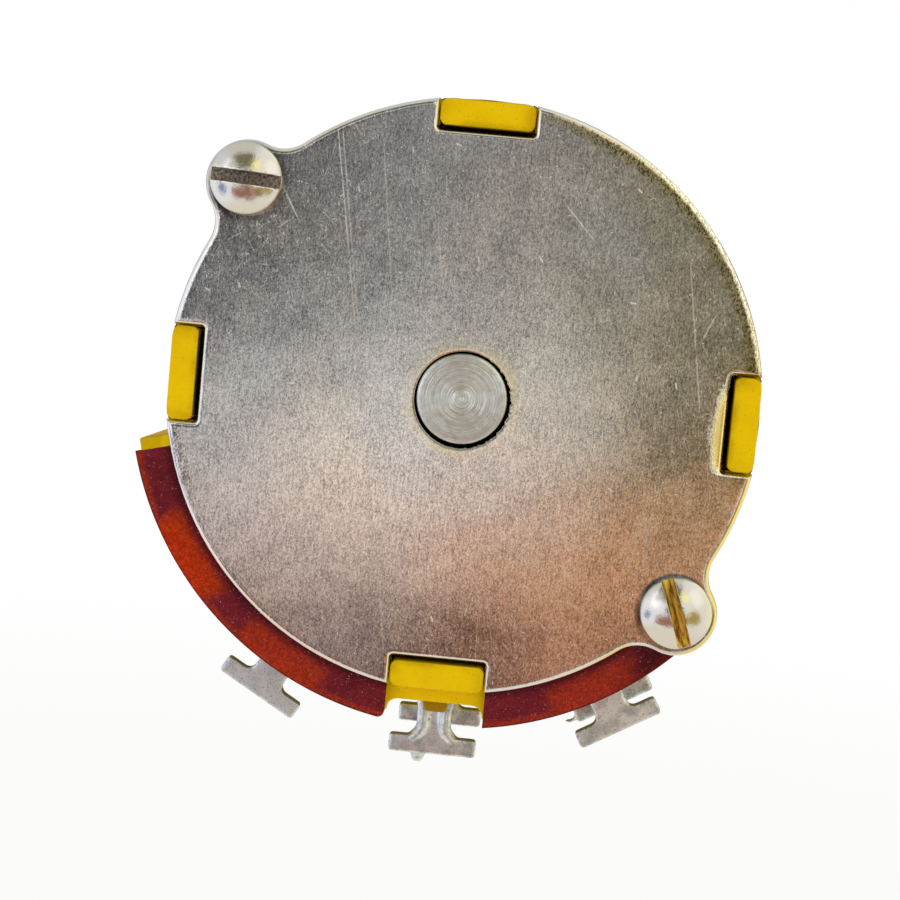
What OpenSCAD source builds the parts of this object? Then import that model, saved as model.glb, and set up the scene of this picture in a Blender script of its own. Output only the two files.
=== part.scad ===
// Precision wirewound potentiometer with a bushing mount.
// Two stamped end plates clamp a moulded housing between them with two long screws.
// The modules work as seen from the rear: x right, y up, and z from the mounting face to the rear.
// placed() then turns them so that the shaft points along +Y and the middle terminal along -Z.

/* [Case] */
// Diameter of the two end plates
plate_d = 42.07; // [40:0.01:50]
// Depth from the mounting face to the back of the rear plate
case_depth = 19.84; // [19:0.01:28]
// Thickness of the front plate
front_plate_t = 1.6; // [1.2:0.1:2.2]
// Thickness of the rear plate
rear_plate_t = 1; // [0.7:0.1:1.4]
// Width of the four notches in each plate
notch_w = 6.8; // [5.5:0.1:7.2]
// Depth of the notches below the rim
notch_depth = 2.45; // [2:0.05:2.8]
// Radial gap between the shaft and its hole in the rear plate
rear_hole_gap = 0.24; // [0.15:0.01:0.6]
// How far that hole lies off the shaft's axis
rear_hole_drift = 0.12; // [0:0.01:0.12]
// Direction in which it lies off the axis
rear_hole_angle = 307; // [0:1:360]

/* [Ears and screws] */
// Angle of the upper ear, counter-clockwise from +x
ear_angle = 140; // [138:1:150]
// How far the screws stand outside the rim of the plates
ear_offset = 0.3; // [0:0.05:0.6]
// Radius of an ear
ear_r = 3; // [2.8:0.05:3.4]
// Radius of the fillets between an ear and the rim
ear_fillet_r = 2.5; // [1.5:0.1:4]
// Diameter of the screws
screw_d = 2.84; // [2.4:0.02:3.1]
// Diameter of the round screw heads
screw_head_d = 5.2; // [4.4:0.1:5.8]
// Height of the round screw heads
screw_head_h = 2.1; // [1.8:0.1:2.4]
// Height of the straight wall under the dome of a screw head
screw_head_wall = 1.1; // [0.6:0.05:1.3]
// Width of the screwdriver slots
screw_slot_w = 0.88; // [0.5:0.02:1]
// Depth of the screwdriver slots
screw_slot_depth = 1.2; // [0.6:0.1:1.4]
// Direction of the slot in the upper screw
upper_slot_angle = 177; // [0:1:180]
// Direction of the slot in the lower screw
lower_slot_angle = 110; // [0:1:180]
// Radial gap round the screws where they pass through
screw_gap = 0.15; // [0.1:0.01:0.3]

/* [Housing] */
// Wall of the moulded housing
housing_wall = 3.05; // [2.6:0.05:3.6]
// How far the wall stands back from the rim of the plates
housing_setback = 0.08; // [0.02:0.01:0.3]
// Radius of the housing's screw bosses
boss_r = 2.7; // [2.4:0.05:2.8]
// Gap between a lug and the floor of its notch
lug_gap = 0.3; // [0.2:0.05:0.8]
// Gap at each side of a lug in its notch
lug_side_gap = 0.06; // [0.03:0.01:0.2]
// How far the lugs stop short of the plates' outer faces
lug_recess = 0.15; // [0.05:0.05:0.4]
// Corner radius of the lugs
lug_corner_r = 0.6; // [0.2:0.05:0.8]
// How far the lugs' outer corners stand back from the housing's wall
lug_setback = 0.15; // [0:0.05:0.2]
// Depth of the relief pockets along the inner sides of the lugs
lug_relief = 2.4; // [1:0.1:2.6]
// How far these pockets reach in beyond the floors of the notches
lug_relief_reach = 0.1; // [0.05:0.05:0.3]

/* [Terminal block] */
// Angle at which the terminal block begins
block_angle = 192.4; // [188:0.1:196]
// Angle of the bay for a tap terminal, which is vacant
tap_bay_angle = 215.4; // [212:0.1:218]
// Angle between neighbouring terminals
terminal_pitch = 29.7; // [28:0.1:31]
// Width of the bays between the barrier ribs
bay_w = 6.9; // [6.8:0.1:7.2]
// Radius of the inner corners of the bays
bay_corner_r = 0.8; // [0.4:0.1:1.2]
// How far the floor of the bays stands outside the rim
ledge_reach = 1; // [0.5:0.05:1.2]
// How far the barrier ribs stand outside the rim
rib_reach = 2.2; // [1.8:0.05:2.5]
// Height of the barrier ribs below the boards
rib_h = 9; // [7:0.1:12]

/* [Boards] */
// Thickness of the fibre boards over the terminals
board_t = 0.8; // [0.5:0.1:1.2]
// How far the boards stand outside the rim
board_reach = 2.65; // [2.5:0.05:3.2]
// How far the boards reach in under the rear plate
board_seat = 1.6; // [1.2:0.05:1.8]
// Width of the stop at the block's end that the long board starts from
board_stop_w = 0.85; // [0.5:0.05:1.5]
// Width of the space between the boards
board_slot_w = 7.1; // [7:0.1:8]
// Radius of the long board's outer corner at that space
board_corner_r = 0.45; // [0.2:0.05:0.8]
// Radius of the short board's end round its screw
board_end_r = 2.2; // [1.9:0.05:2.4]
// Gap between the boards and the edges that locate them
board_gap = 0.05; // [0.02:0.01:0.15]

/* [Terminals] */
// Thickness of the terminal strip
terminal_t = 0.8; // [0.5:0.1:1]
// How far the terminals stand outside the rim
terminal_reach = 5.35; // [5:0.05:7]
// Depth of the terminals below the back of the rear plate
terminal_drop = 4; // [3.4:0.1:5]
// Width of a terminal's neck
terminal_neck_w = 2.5; // [2:0.1:3]
// Width of the cross bar at a terminal's end
terminal_bar_w = 6.4; // [5:0.1:6.8]
// Length of that cross bar along the terminal
terminal_bar_h = 1.35; // [1:0.05:1.6]
// Fillet radius between neck and cross bar
terminal_fillet_r = 0.55; // [0.3:0.05:0.8]
// Corner radius of the cross bars
terminal_corner_r = 0.2; // [0.1:0.05:0.3]
// How far the shorter lower leg of a terminal stands outside the rim
lower_leg_reach = 3.5; // [3:0.05:3.7]
// Width of the cross bar on the lower leg
lower_bar_w = 6.1; // [5:0.1:6.1]
// How far the lower leg lies to the right of the long leg
lower_leg_shift = 0.3; // [0:0.05:0.3]
// How far the left terminal is drawn out beyond the middle one
left_pull = 0.4; // [0:0.05:0.6]
// How far the right terminal is drawn out beyond the middle one
right_pull = 0.6; // [0:0.05:0.6]
// How far its lower leg is drawn out
right_lower_pull = 1.05; // [0:0.05:1.2]
// Angle by which the right terminal is bent away from the middle one
right_lean = 0.8; // [0:0.1:1]
// Gap between the two legs of a terminal
terminal_fold = 1.4; // [1:0.1:2]
// Length of the terminal's tail inside the housing
terminal_tail = 1.5; // [1.2:0.1:2]
// Gap between the terminals and the moulding round them
mould_gap = 0.02; // [0.01:0.01:0.05]

/* [Bushing and shaft] */
// Diameter of the shaft
shaft_d = 6.35; // [5.5:0.01:7]
// How far the shaft stands out in front of the mounting face
shaft_reach = 22.2; // [18:0.1:40]
// How far the shaft's end stands proud of the rear plate
shaft_proud = 0.4; // [0.1:0.05:1]
// Chamfer at the shaft's ends
shaft_chamfer = 0.4; // [0.2:0.05:0.8]
// Diameter of the bushing's thread
bushing_d = 9.525; // [9:0.005:11]
// Length of the bushing in front of the mounting face
bushing_l = 9.53; // [6:0.01:12]
// Chamfer at the bushing's end
bushing_chamfer = 0.6; // [0.3:0.05:0.9]
// Radial running clearance of the shaft in the bushing
bushing_clear = 0.025; // [0.015:0.005:0.05]
// Step from the thread down to the shank that is riveted into the front plate
bushing_step = 0.35; // [0.2:0.05:0.5]
// Width of the riveted flange beyond the thread
flange_w = 1.3; // [1:0.1:1.8]
// Thickness of the riveted flange
flange_t = 0.8; // [0.6:0.1:1]
// Thickness of the retaining ring on the shaft
ring_t = 0.8; // [0.5:0.1:1.2]
// Depth of the retaining ring's groove
ring_groove = 0.4; // [0.3:0.05:0.6]
// How far the retaining ring stays inside the thread
ring_inset = 0.5; // [0.4:0.05:0.8]

/* [Locating tab] */
// Distance of the locating tab from the shaft
tab_r = 13.5; // [12:0.1:15]
// Width of the locating tab
tab_w = 3; // [2:0.1:4]
// How far the locating tab stands out of the mounting face
tab_h = 2.4; // [1.5:0.1:3]

/* [Resistance element] */
// Thickness of the insulator under the element
insulator_t = 1; // [0.6:0.1:1.4]
// Thickness of the card that carries the winding
card_t = 1.2; // [0.8:0.1:1.6]
// Thickness of the winding on the card
wire_t = 0.2; // [0.15:0.05:0.3]
// Angle left open between the card's ends
card_gap_angle = 20; // [18:0.5:26]
// Angle of the card that each end clip takes
clip_angle = 4; // [3:0.5:6]
// Room between the winding and the terminals for the end leads
lead_room = 2; // [1.6:0.1:2.6]
// Thickness of the end leads
lead_t = 0.5; // [0.3:0.1:0.6]
// Gap round the pieces of the element
element_gap = 0.05; // [0.02:0.01:0.1]

/* [Collector] */
// Thickness of the collector ring
collector_t = 0.5; // [0.3:0.1:0.8]
// Width of the collector ring's track
collector_w = 3; // [2:0.1:4]
// Width of the strip from the collector ring to the middle terminal
collector_strip_w = 2; // [1.5:0.1:2.5]

/* [Rotor] */
// Wall of the rotor hub round the shaft
hub_wall = 3; // [2.2:0.1:3.6]
// Length of the rotor hub
hub_l = 10; // [9:0.1:12]
// Thickness of the hub's paddle, which carries both contact arms
paddle_t = 2.6; // [2:0.1:3.2]
// How far the paddle stands out from the hub
paddle_reach = 3.5; // [3:0.1:4]
// Width of the paddle
paddle_w = 8; // [7:0.1:9]
// Thickness of the contact arms
arm_t = 0.4; // [0.2:0.05:0.6]
// Width of the arm to the winding
arm_w = 5; // [4:0.1:6]
// Radius of the two wiper rivets
rivet_r = 0.7; // [0.5:0.05:0.8]
// Distance between the two wiper rivets
rivet_pitch = 3; // [2.6:0.1:3.4]
// Width of the rivet heads' rim round the shank
rivet_rim = 0.45; // [0.3:0.05:0.5]
// Thickness of the rivet heads
rivet_head_t = 0.4; // [0.3:0.05:0.6]
// Gap between the hub and the arms beside it
arm_gap = 0.3; // [0.2:0.05:0.5]
// Radius of the two contacts
brush_r = 0.8; // [0.5:0.05:1]
// Length of the contact that runs on the winding
brush_l = 0.9; // [0.6:0.1:1.2]
// Length of the contact that runs on the collector ring
collector_brush_l = 1.2; // [0.9:0.1:1.5]
// Sideways distance of the collector contact from the arm's middle line
collector_brush_x = 5.5; // [4.5:0.1:6.5]
// Radius of the hub's set screw
set_screw_r = 1; // [0.8:0.05:1.2]
// Gap between contacts and tracks, and at the thrust washer
run_gap = 0.1; // [0.05:0.01:0.15]
// Gap between pieces that are fixed together
fit_gap = 0.03; // [0.02:0.01:0.06]
// Thickness of the thrust washer
washer_t = 0.5; // [0.3:0.1:0.8]
// Width of the thrust washer's face
washer_w = 2; // [1.2:0.1:2.6]

/* [Hidden] */
$fn = 96;
arc_steps = 6;
// Overlap that lets a cut run clear through a face
through = 1;
// Overlap of the ear fillets with the circles that they blend
blend = 0.02;

plate_r = plate_d / 2;
notch_floor = plate_r - notch_depth;
notch_angles = [0, 90, 180, 270];
ear_angles = [ear_angle, ear_angle + 180];
slot_angles = [upper_slot_angle, lower_slot_angle];
screw_circle = plate_r + ear_offset;
screw_r = screw_d / 2;
rear_z = case_depth - rear_plate_t;

housing_r = plate_r - housing_setback;
bore_r = housing_r - housing_wall;
lug_inner = notch_floor + lug_gap;

// The terminals are numbered from left to right, seen from the rear
middle_angle = 270;
terminal_angles = [middle_angle - terminal_pitch, middle_angle, middle_angle + terminal_pitch];
terminal_turns = [terminal_angles[0], terminal_angles[1], terminal_angles[2] + right_lean];
terminal_pulls = [left_pull, 0, right_pull];
lower_pulls = [0, 0, right_lower_pull];
bay_angles = concat([tap_bay_angle], terminal_angles);
ledge_r = plate_r + ledge_reach;
rib_r = plate_r + rib_reach;
board_z = rear_z - board_t;
board_r = plate_r + board_reach;
board_inner = plate_r - board_seat;
board_angle = block_angle + asin(board_stop_w / plate_r);

terminal_top = case_depth - terminal_drop;
terminal_bottom = terminal_top - terminal_t;
lower_top = terminal_bottom - terminal_fold;
lower_bottom = lower_top - terminal_t;
terminal_r = plate_r + terminal_reach;
lower_r = plate_r + lower_leg_reach;
tail_r = bore_r - terminal_tail;
// The fold that joins both legs lies in the middle of the wall
fold_r = bore_r + housing_wall / 2;

shaft_r = shaft_d / 2;
bushing_r = bushing_d / 2;
shank_r = bushing_r - bushing_step;
flange_r = bushing_r + flange_w;
ring_z = -bushing_l - run_gap;
ring_inner = shaft_r - ring_groove;

insulator_top = front_plate_t + insulator_t;
winding_r = bore_r - element_gap;
card_r = winding_r - wire_t;
card_inner = card_r - card_t;
winding_inner = card_inner - wire_t;
winding_bottom = insulator_top + element_gap;
winding_top = terminal_bottom - lead_room;
card_mid = (card_r + card_inner) / 2;
card_start = middle_angle + card_gap_angle / 2;
card_sweep = 360 - card_gap_angle;

hub_r = shaft_r + fit_gap + hub_wall;
rivet_y = hub_r + paddle_reach / 2;
collector_mid = norm([collector_brush_x, rivet_y]);
collector_top = insulator_top + collector_t;
washer_z = front_plate_t + flange_t + run_gap;
hub_z = washer_z + washer_t;
hub_top = hub_z + hub_l;
paddle_z = collector_top + run_gap + collector_brush_l + arm_t;
paddle_top = paddle_z + paddle_t;
arm_start = hub_r + arm_gap;
brush_tip = winding_inner - run_gap;
rivet_head_r = rivet_r + rivet_rim;

function direction(angle) = [cos(angle), sin(angle)];

function arc(centre, radius, from, to) =
    [for (i = [0:arc_steps]) centre + radius * direction(from + (to - from) * i / arc_steps)];

function mirrored(points) = [for (i = [len(points) - 1:-1:0]) [points[i][0], -points[i][1]]];

// Upper half of a rounded rectangle from x0 to x1
function rounded_half(x0, x1, half_w, r) =
    concat(arc([x1 - r, half_w - r], r, 0, 90), arc([x0 + r, half_w - r], r, 90, 180));

// Upper half of a T from x0 to x1, with its bar at x1
function tee_half(x0, x1, half_neck, half_bar, bar_h, fillet, corner) = concat(
    arc([x1 - corner, half_bar - corner], corner, 0, 90),
    arc([x1 - bar_h + corner, half_bar - corner], corner, 90, 180),
    arc([x1 - bar_h - fillet, half_neck + fillet], fillet, 360, 270),
    [[x0, half_neck]]
);

module placed() {
    rotate([90, 0, 0]) children();
}

module slab(z0, z1) {
    translate([0, 0, z0]) linear_extrude(z1 - z0) children();
}

// Flat wedge from the centre, under half a turn wide
module wedge(from, to) {
    far = 2 * board_r;
    polygon([[0, 0], far * direction(from), far * direction((from + to) / 2), far * direction(to)]);
}

// One ear on +x: its round end and the web that two fillets blend into the rim
module ear_outline() {
    rim_reach = plate_r + ear_fillet_r;
    end_reach = ear_r + ear_fillet_r;
    turn = acos((rim_reach ^ 2 + screw_circle ^ 2 - end_reach ^ 2) / (2 * screw_circle * rim_reach));
    fillet = rim_reach * direction(turn);
    end = [screw_circle, 0];
    rim_point = plate_r * direction(turn);
    end_point = end + ear_r / end_reach * (fillet - end);
    half_web = [end_point, rim_point];
    translate(end) circle(r = ear_r);
    difference() {
        polygon(concat(half_web, [[0, 0]], mirrored(half_web)));
        for (side = [1, -1]) translate([fillet[0], side * fillet[1]]) circle(r = ear_fillet_r + blend);
    }
}

module plate_outline() {
    difference() {
        union() {
            circle(r = plate_r);
            for (angle = ear_angles) rotate(angle) ear_outline();
        }
        for (angle = notch_angles) {
            rotate(angle) translate([notch_floor, -notch_w / 2]) square([notch_depth + through, notch_w]);
        }
    }
}

module at_screws() {
    for (angle = ear_angles) rotate(angle) translate([screw_circle, 0]) children();
}

module front_plate() {
    window = tab_h;
    color("silver") placed() {
        difference() {
            slab(0, front_plate_t) plate_outline();
            slab(-through, front_plate_t + through) {
                circle(r = shank_r + fit_gap);
                at_screws() circle(r = screw_r + fit_gap);
                translate([-tab_r + front_plate_t / 2, -tab_w / 2]) square([window, tab_w]);
            }
        }
        translate([-tab_r - front_plate_t / 2, -tab_w / 2, -tab_h]) {
            cube([front_plate_t, tab_w, tab_h + front_plate_t / 2]);
        }
    }
}

// Turned bushing, riveted into the front plate by its inner flange
module bushing() {
    bore = shaft_r + bushing_clear;
    color("goldenrod") placed() rotate_extrude() polygon([
        [bore, -bushing_l],
        [bushing_r - bushing_chamfer, -bushing_l],
        [bushing_r, -bushing_l + bushing_chamfer],
        [bushing_r, 0],
        [shank_r, 0],
        [shank_r, front_plate_t],
        [flange_r, front_plate_t],
        [flange_r, front_plate_t + flange_t],
        [bore, front_plate_t + flange_t]
    ]);
}

module lug_outline() {
    half = rounded_half(lug_inner, housing_r - lug_setback, notch_w / 2 - lug_side_gap, lug_corner_r);
    intersection() {
        circle(r = housing_r);
        polygon(concat(half, mirrored(half)));
    }
}

// Room in the housing's rear face for both boards
module board_seat_outline() {
    intersection() {
        difference() {
            circle(r = board_r + through);
            circle(r = board_inner - board_gap);
        }
        union() {
            wedge(board_angle, ear_angle + 180);
            rotate(ear_angle + 180) translate([screw_circle, 0]) circle(r = board_end_r + board_gap);
        }
    }
}

// Pocket on the inner side of a lug, which the lug then fills in part
module lug_pocket() {
    x0 = notch_floor - lug_relief_reach;
    half = notch_w / 2 - lug_side_gap;
    translate([x0, -half]) square([lug_inner + lug_corner_r - x0, 2 * half]);
}

module block_outline() {
    half_bay = rounded_half(ledge_r, 2 * rib_r, bay_w / 2, bay_corner_r);
    difference() {
        intersection() {
            circle(r = rib_r);
            wedge(block_angle, ear_angle + 180);
        }
        for (angle = bay_angles) rotate(angle) polygon(concat(half_bay, mirrored(half_bay)));
    }
}

// One terminal on +x: a strip folded double in the wall, with a cross bar at each end
module terminal_strip(pull, lower_pull, gap = 0) {
    half_upper = tee_half(tail_r - gap, terminal_r + pull, terminal_neck_w / 2 + gap, terminal_bar_w / 2,
        terminal_bar_h, terminal_fillet_r, terminal_corner_r);
    half_lower = tee_half(fold_r - gap, lower_r + lower_pull, terminal_neck_w / 2 + gap, lower_bar_w / 2,
        terminal_bar_h, terminal_fillet_r, terminal_corner_r);
    slab(terminal_bottom - gap, terminal_top + gap) polygon(concat(half_upper, mirrored(half_upper)));
    slab(lower_bottom - gap, lower_top + gap) translate([0, lower_leg_shift]) {
        polygon(concat(half_lower, mirrored(half_lower)));
    }
    translate([fold_r - gap, -terminal_neck_w / 2 - gap, lower_bottom - gap]) {
        cube([terminal_t + 2 * gap, terminal_neck_w + 2 * gap, terminal_top - lower_bottom + 2 * gap]);
    }
}

module housing() {
    color("gold") placed() difference() {
        union() {
            difference() {
                union() {
                    slab(front_plate_t, rear_z) {
                        circle(r = housing_r);
                        at_screws() circle(r = boss_r);
                    }
                    slab(board_z - rib_h, rear_z) block_outline();
                }
                slab(board_z, rear_z + through) board_seat_outline();
                for (angle = notch_angles) rotate(angle) {
                    slab(front_plate_t - through, front_plate_t + lug_relief) lug_pocket();
                    slab(rear_z - lug_relief, rear_z + through) lug_pocket();
                }
            }
            for (angle = notch_angles) rotate(angle) {
                slab(lug_recess, case_depth - lug_recess) lug_outline();
            }
        }
        slab(-through, case_depth + through) {
            circle(r = bore_r);
            at_screws() circle(r = screw_r + screw_gap);
        }
        for (i = [0:2]) rotate(terminal_turns[i]) {
            terminal_strip(terminal_pulls[i], lower_pulls[i], mould_gap);
        }
    }
}

module rear_plate() {
    color("lightgray") placed() difference() {
        slab(rear_z, case_depth) plate_outline();
        slab(rear_z - through, case_depth + through) {
            translate(rear_hole_drift * direction(rear_hole_angle)) circle(r = shaft_r + rear_hole_gap);
            at_screws() circle(r = screw_r + screw_gap);
        }
    }
}

// Round-headed screws from the rear, threaded into the front plate
module case_screws() {
    head_r = screw_head_d / 2;
    dome_z = case_depth + screw_head_wall;
    dome_h = screw_head_h - screw_head_wall;
    dome_r = (head_r ^ 2 + dome_h ^ 2) / (2 * dome_h);
    slot_floor = case_depth + screw_head_h - screw_slot_depth;
    color("silver") placed() for (i = [0, 1]) rotate(ear_angles[i]) translate([screw_circle, 0]) {
        slab(0, case_depth) circle(r = screw_r);
        difference() {
            union() {
                slab(case_depth, dome_z) circle(r = head_r);
                intersection() {
                    translate([0, 0, dome_z + dome_h - dome_r]) sphere(r = dome_r);
                    slab(dome_z, dome_z + 2 * dome_h) circle(r = 2 * head_r);
                }
            }
            rotate(slot_angles[i] - ear_angles[i]) {
                translate([-screw_head_d, -screw_slot_w / 2, slot_floor]) {
                    cube([2 * screw_head_d, screw_slot_w, screw_head_h]);
                }
            }
        }
    }
}

module board_band() {
    difference() {
        circle(r = board_r);
        circle(r = board_inner);
    }
}

// Room between the boards for the lug over the middle terminal
module board_slot() {
    rotate(middle_angle) translate([0, -board_slot_w / 2]) square([2 * board_r, board_slot_w]);
}

// Waste at the long board's outer corner, drawn with the middle terminal's direction as +x
module board_corner_waste() {
    reach = board_r - board_corner_r + blend;
    side = board_slot_w / 2 + board_corner_r;
    turn = asin(side / reach);
    centre = reach * direction(-turn);
    polygon(concat(
        [[2 * board_r, -side], 2 * board_r * direction(-turn)],
        arc(centre, board_corner_r, -turn, 90),
        [[centre[0], 0], [2 * board_r, 0]]
    ));
}

module terminal_board_long() {
    start = board_angle + asin(board_gap / board_inner);
    color("brown") placed() slab(board_z, rear_z) difference() {
        intersection() {
            board_band();
            wedge(start, middle_angle);
        }
        board_slot();
        rotate(middle_angle) board_corner_waste();
    }
}

module terminal_board_short() {
    color("brown") placed() slab(board_z, rear_z) difference() {
        intersection() {
            board_band();
            union() {
                wedge(middle_angle, ear_angle + 180);
                rotate(ear_angle + 180) translate([screw_circle, 0]) circle(r = board_end_r);
            }
        }
        board_slot();
        at_screws() circle(r = screw_r + screw_gap);
    }
}

module terminal(number) {
    i = number - 1;
    color("lightslategray") placed() rotate(terminal_turns[i]) {
        terminal_strip(terminal_pulls[i], lower_pulls[i]);
    }
}

module base_insulator() {
    color("saddlebrown") placed() slab(front_plate_t, insulator_top) difference() {
        circle(r = bore_r - element_gap);
        circle(r = flange_r + element_gap);
    }
}

// Part of the ring between two radii and two heights, swept from one angle
module ring_sector(from, sweep, r0, r1, z0, z1) {
    rotate(from) rotate_extrude(angle = sweep) translate([r0, z0]) square([r1 - r0, z1 - z0]);
}

// Sleeve round the card's cross-section
module card_sleeve(from, sweep, gap) {
    difference() {
        ring_sector(from, sweep, winding_inner, winding_r, winding_bottom, winding_top);
        ring_sector(from - through, sweep + 2 * through, card_inner - gap, card_r + gap,
            winding_bottom + wire_t - gap, winding_top - wire_t + gap);
    }
}

module resistance_card() {
    color("peru") placed() ring_sector(card_start, card_sweep, card_inner, card_r,
        winding_bottom + wire_t, winding_top - wire_t);
}

module resistance_winding() {
    bare_end = clip_angle + 1;
    color("tan") placed() card_sleeve(card_start + bare_end, card_sweep - 2 * bare_end, fit_gap);
}

module end_clip(at_start) {
    from = at_start ? card_start : card_start + card_sweep - clip_angle;
    color("gold") placed() card_sleeve(from, clip_angle, fit_gap);
}

// Lead from an end clip along the card to its terminal's tail; side is -1 for the left one
module end_lead(side) {
    clip_mid = middle_angle + side * (card_gap_angle + clip_angle) / 2;
    end = middle_angle + side * terminal_pitch;
    lead_z = winding_top + lead_room / 2;
    foot_inset = asin(lead_t / card_mid);
    color("darkgoldenrod") placed() {
        ring_sector(min(clip_mid, end), abs(end - clip_mid), card_mid - lead_t / 2, card_mid + lead_t / 2,
            lead_z - lead_t / 2, lead_z + lead_t / 2);
        rotate(clip_mid + side * foot_inset) lead_foot(winding_top, lead_z);
        rotate(end - side * foot_inset) lead_foot(lead_z, terminal_bottom);
    }
}

// Upright end of a lead, narrower than the lead
module lead_foot(z0, z1) {
    slab(z0, z1) translate([card_mid, 0]) square(lead_t / 2, center = true);
}

// Flat ring with a tab that runs out through the gap in the card
module collector_ring() {
    color("gold") placed() slab(insulator_top, collector_top) difference() {
        union() {
            circle(r = collector_mid + collector_w / 2);
            rotate(middle_angle) translate([0, -collector_strip_w / 2]) {
                square([card_mid + collector_t / 2, collector_strip_w]);
            }
        }
        circle(r = collector_mid - collector_w / 2);
    }
}

module collector_strip() {
    color("goldenrod") placed() rotate(middle_angle) {
        translate([card_mid - collector_t / 2, -collector_strip_w / 2, collector_top]) {
            cube([collector_t, collector_strip_w, terminal_bottom - collector_top]);
        }
    }
}

module shaft() {
    back = case_depth + shaft_proud;
    pip_r = 0.35;
    groove_top = ring_z + fit_gap;
    groove_bottom = ring_z - ring_t - fit_gap;
    color("silver") placed() rotate_extrude() polygon([
        [0, -shaft_reach],
        [shaft_r - shaft_chamfer, -shaft_reach],
        [shaft_r, -shaft_reach + shaft_chamfer],
        [shaft_r, groove_bottom],
        [ring_inner, groove_bottom],
        [ring_inner, groove_top],
        [shaft_r, groove_top],
        [shaft_r, back - shaft_chamfer],
        [shaft_r - shaft_chamfer, back],
        [pip_r, back],
        [0, back - pip_r]
    ]);
}

// Open spring ring in the shaft's groove, small enough to pass through a nut on the bushing
module retaining_ring() {
    mouth = 70;
    color("dimgray") placed() ring_sector(mouth / 2 + 90, 360 - mouth, ring_inner + fit_gap,
        bushing_r - ring_inset, ring_z - ring_t, ring_z);
}

module thrust_washer() {
    color("ivory") placed() slab(washer_z, hub_z) difference() {
        circle(r = shaft_r + fit_gap + washer_w);
        circle(r = shaft_r + fit_gap);
    }
}

module at_rivets() {
    for (side = [1, -1]) translate([side * rivet_pitch / 2, rivet_y]) children();
}

module set_screw_hole(r, from, to) {
    translate([0, 0, (paddle_top + arm_t + hub_top) / 2]) rotate([90, 0, 0]) slab(from, to) circle(r = r);
}

// Moulded hub with a paddle that insulates both contact arms from the shaft
module rotor_hub() {
    color("darkolivegreen") placed() difference() {
        union() {
            slab(hub_z, hub_top) circle(r = hub_r);
            slab(paddle_z, paddle_top) {
                translate([-paddle_w / 2, 0]) square([paddle_w, hub_r + paddle_reach]);
            }
        }
        slab(hub_z - through, hub_top + through) circle(r = shaft_r + fit_gap);
        slab(paddle_z - through, paddle_top + through) at_rivets() circle(r = rivet_r + fit_gap);
        set_screw_hole(set_screw_r + fit_gap, shaft_r / 2, hub_r + through);
    }
}

module set_screw() {
    slot_w = set_screw_r / 3;
    color("dimgray") placed() difference() {
        set_screw_hole(set_screw_r, shaft_r + fit_gap, hub_r);
        translate([-2 * set_screw_r, -hub_r - slot_w, (paddle_top + arm_t + hub_top - slot_w) / 2]) {
            cube([4 * set_screw_r, 2 * slot_w, slot_w]);
        }
    }
}

// Spring arm over the paddle, bent down at its tip
module contact_arm() {
    tip = brush_tip - brush_l;
    color("khaki") placed() difference() {
        union() {
            slab(paddle_top, paddle_top + arm_t) {
                translate([-arm_w / 2, arm_start]) square([arm_w, tip - arm_start]);
            }
            translate([-arm_w / 2, tip - arm_t, paddle_top + arm_t - 3 * brush_r]) {
                cube([arm_w, arm_t, 3 * brush_r]);
            }
        }
        slab(paddle_top - through, paddle_top + arm_t + through) at_rivets() circle(r = rivet_r + fit_gap);
    }
}

module contact_brush() {
    color("silver") placed() translate([0, brush_tip, paddle_top + arm_t - 1.5 * brush_r]) {
        rotate([90, 0, 0]) cylinder(r = brush_r, h = brush_l);
    }
}

// Spring arm under the paddle that reaches sideways to the collector ring
module collector_arm() {
    half = rivet_y - arm_start;
    color("khaki") placed() difference() {
        slab(paddle_z - arm_t, paddle_z) {
            translate([-arm_w / 2, rivet_y - half]) square([arm_w / 2 + collector_brush_x + half, 2 * half]);
        }
        slab(paddle_z - arm_t - through, paddle_z + through) at_rivets() circle(r = rivet_r + fit_gap);
    }
}

module collector_brush() {
    color("silver") placed() slab(collector_top + run_gap, paddle_z - arm_t) {
        translate([collector_brush_x, rivet_y]) circle(r = brush_r);
    }
}

// Two rivets that clamp both arms to the paddle and join them electrically
module wiper_rivets() {
    low = paddle_z - arm_t;
    high = paddle_top + arm_t;
    color("darkgoldenrod") placed() {
        slab(low, high) at_rivets() circle(r = rivet_r);
        slab(low - rivet_head_t, low) at_rivets() circle(r = rivet_head_r);
        slab(high, high + rivet_head_t) at_rivets() circle(r = rivet_head_r);
    }
}

front_plate();
bushing();
housing();
rear_plate();
case_screws();
terminal_board_long();
terminal_board_short();
terminal(1);  // terminal_1
terminal(2);  // terminal_2
terminal(3);  // terminal_3
base_insulator();
resistance_card();
resistance_winding();
end_clip(false);  // end_clip_1
end_clip(true);  // end_clip_3
end_lead(-1);  // end_lead_1
end_lead(1);  // end_lead_3
collector_ring();
collector_strip();
shaft();
retaining_ring();
thrust_washer();
rotor_hub();
set_screw();
contact_arm();
contact_brush();
collector_arm();
collector_brush();
wiper_rivets();
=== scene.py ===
import math

import bmesh
import bpy
from mathutils import Matrix, Vector


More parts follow.
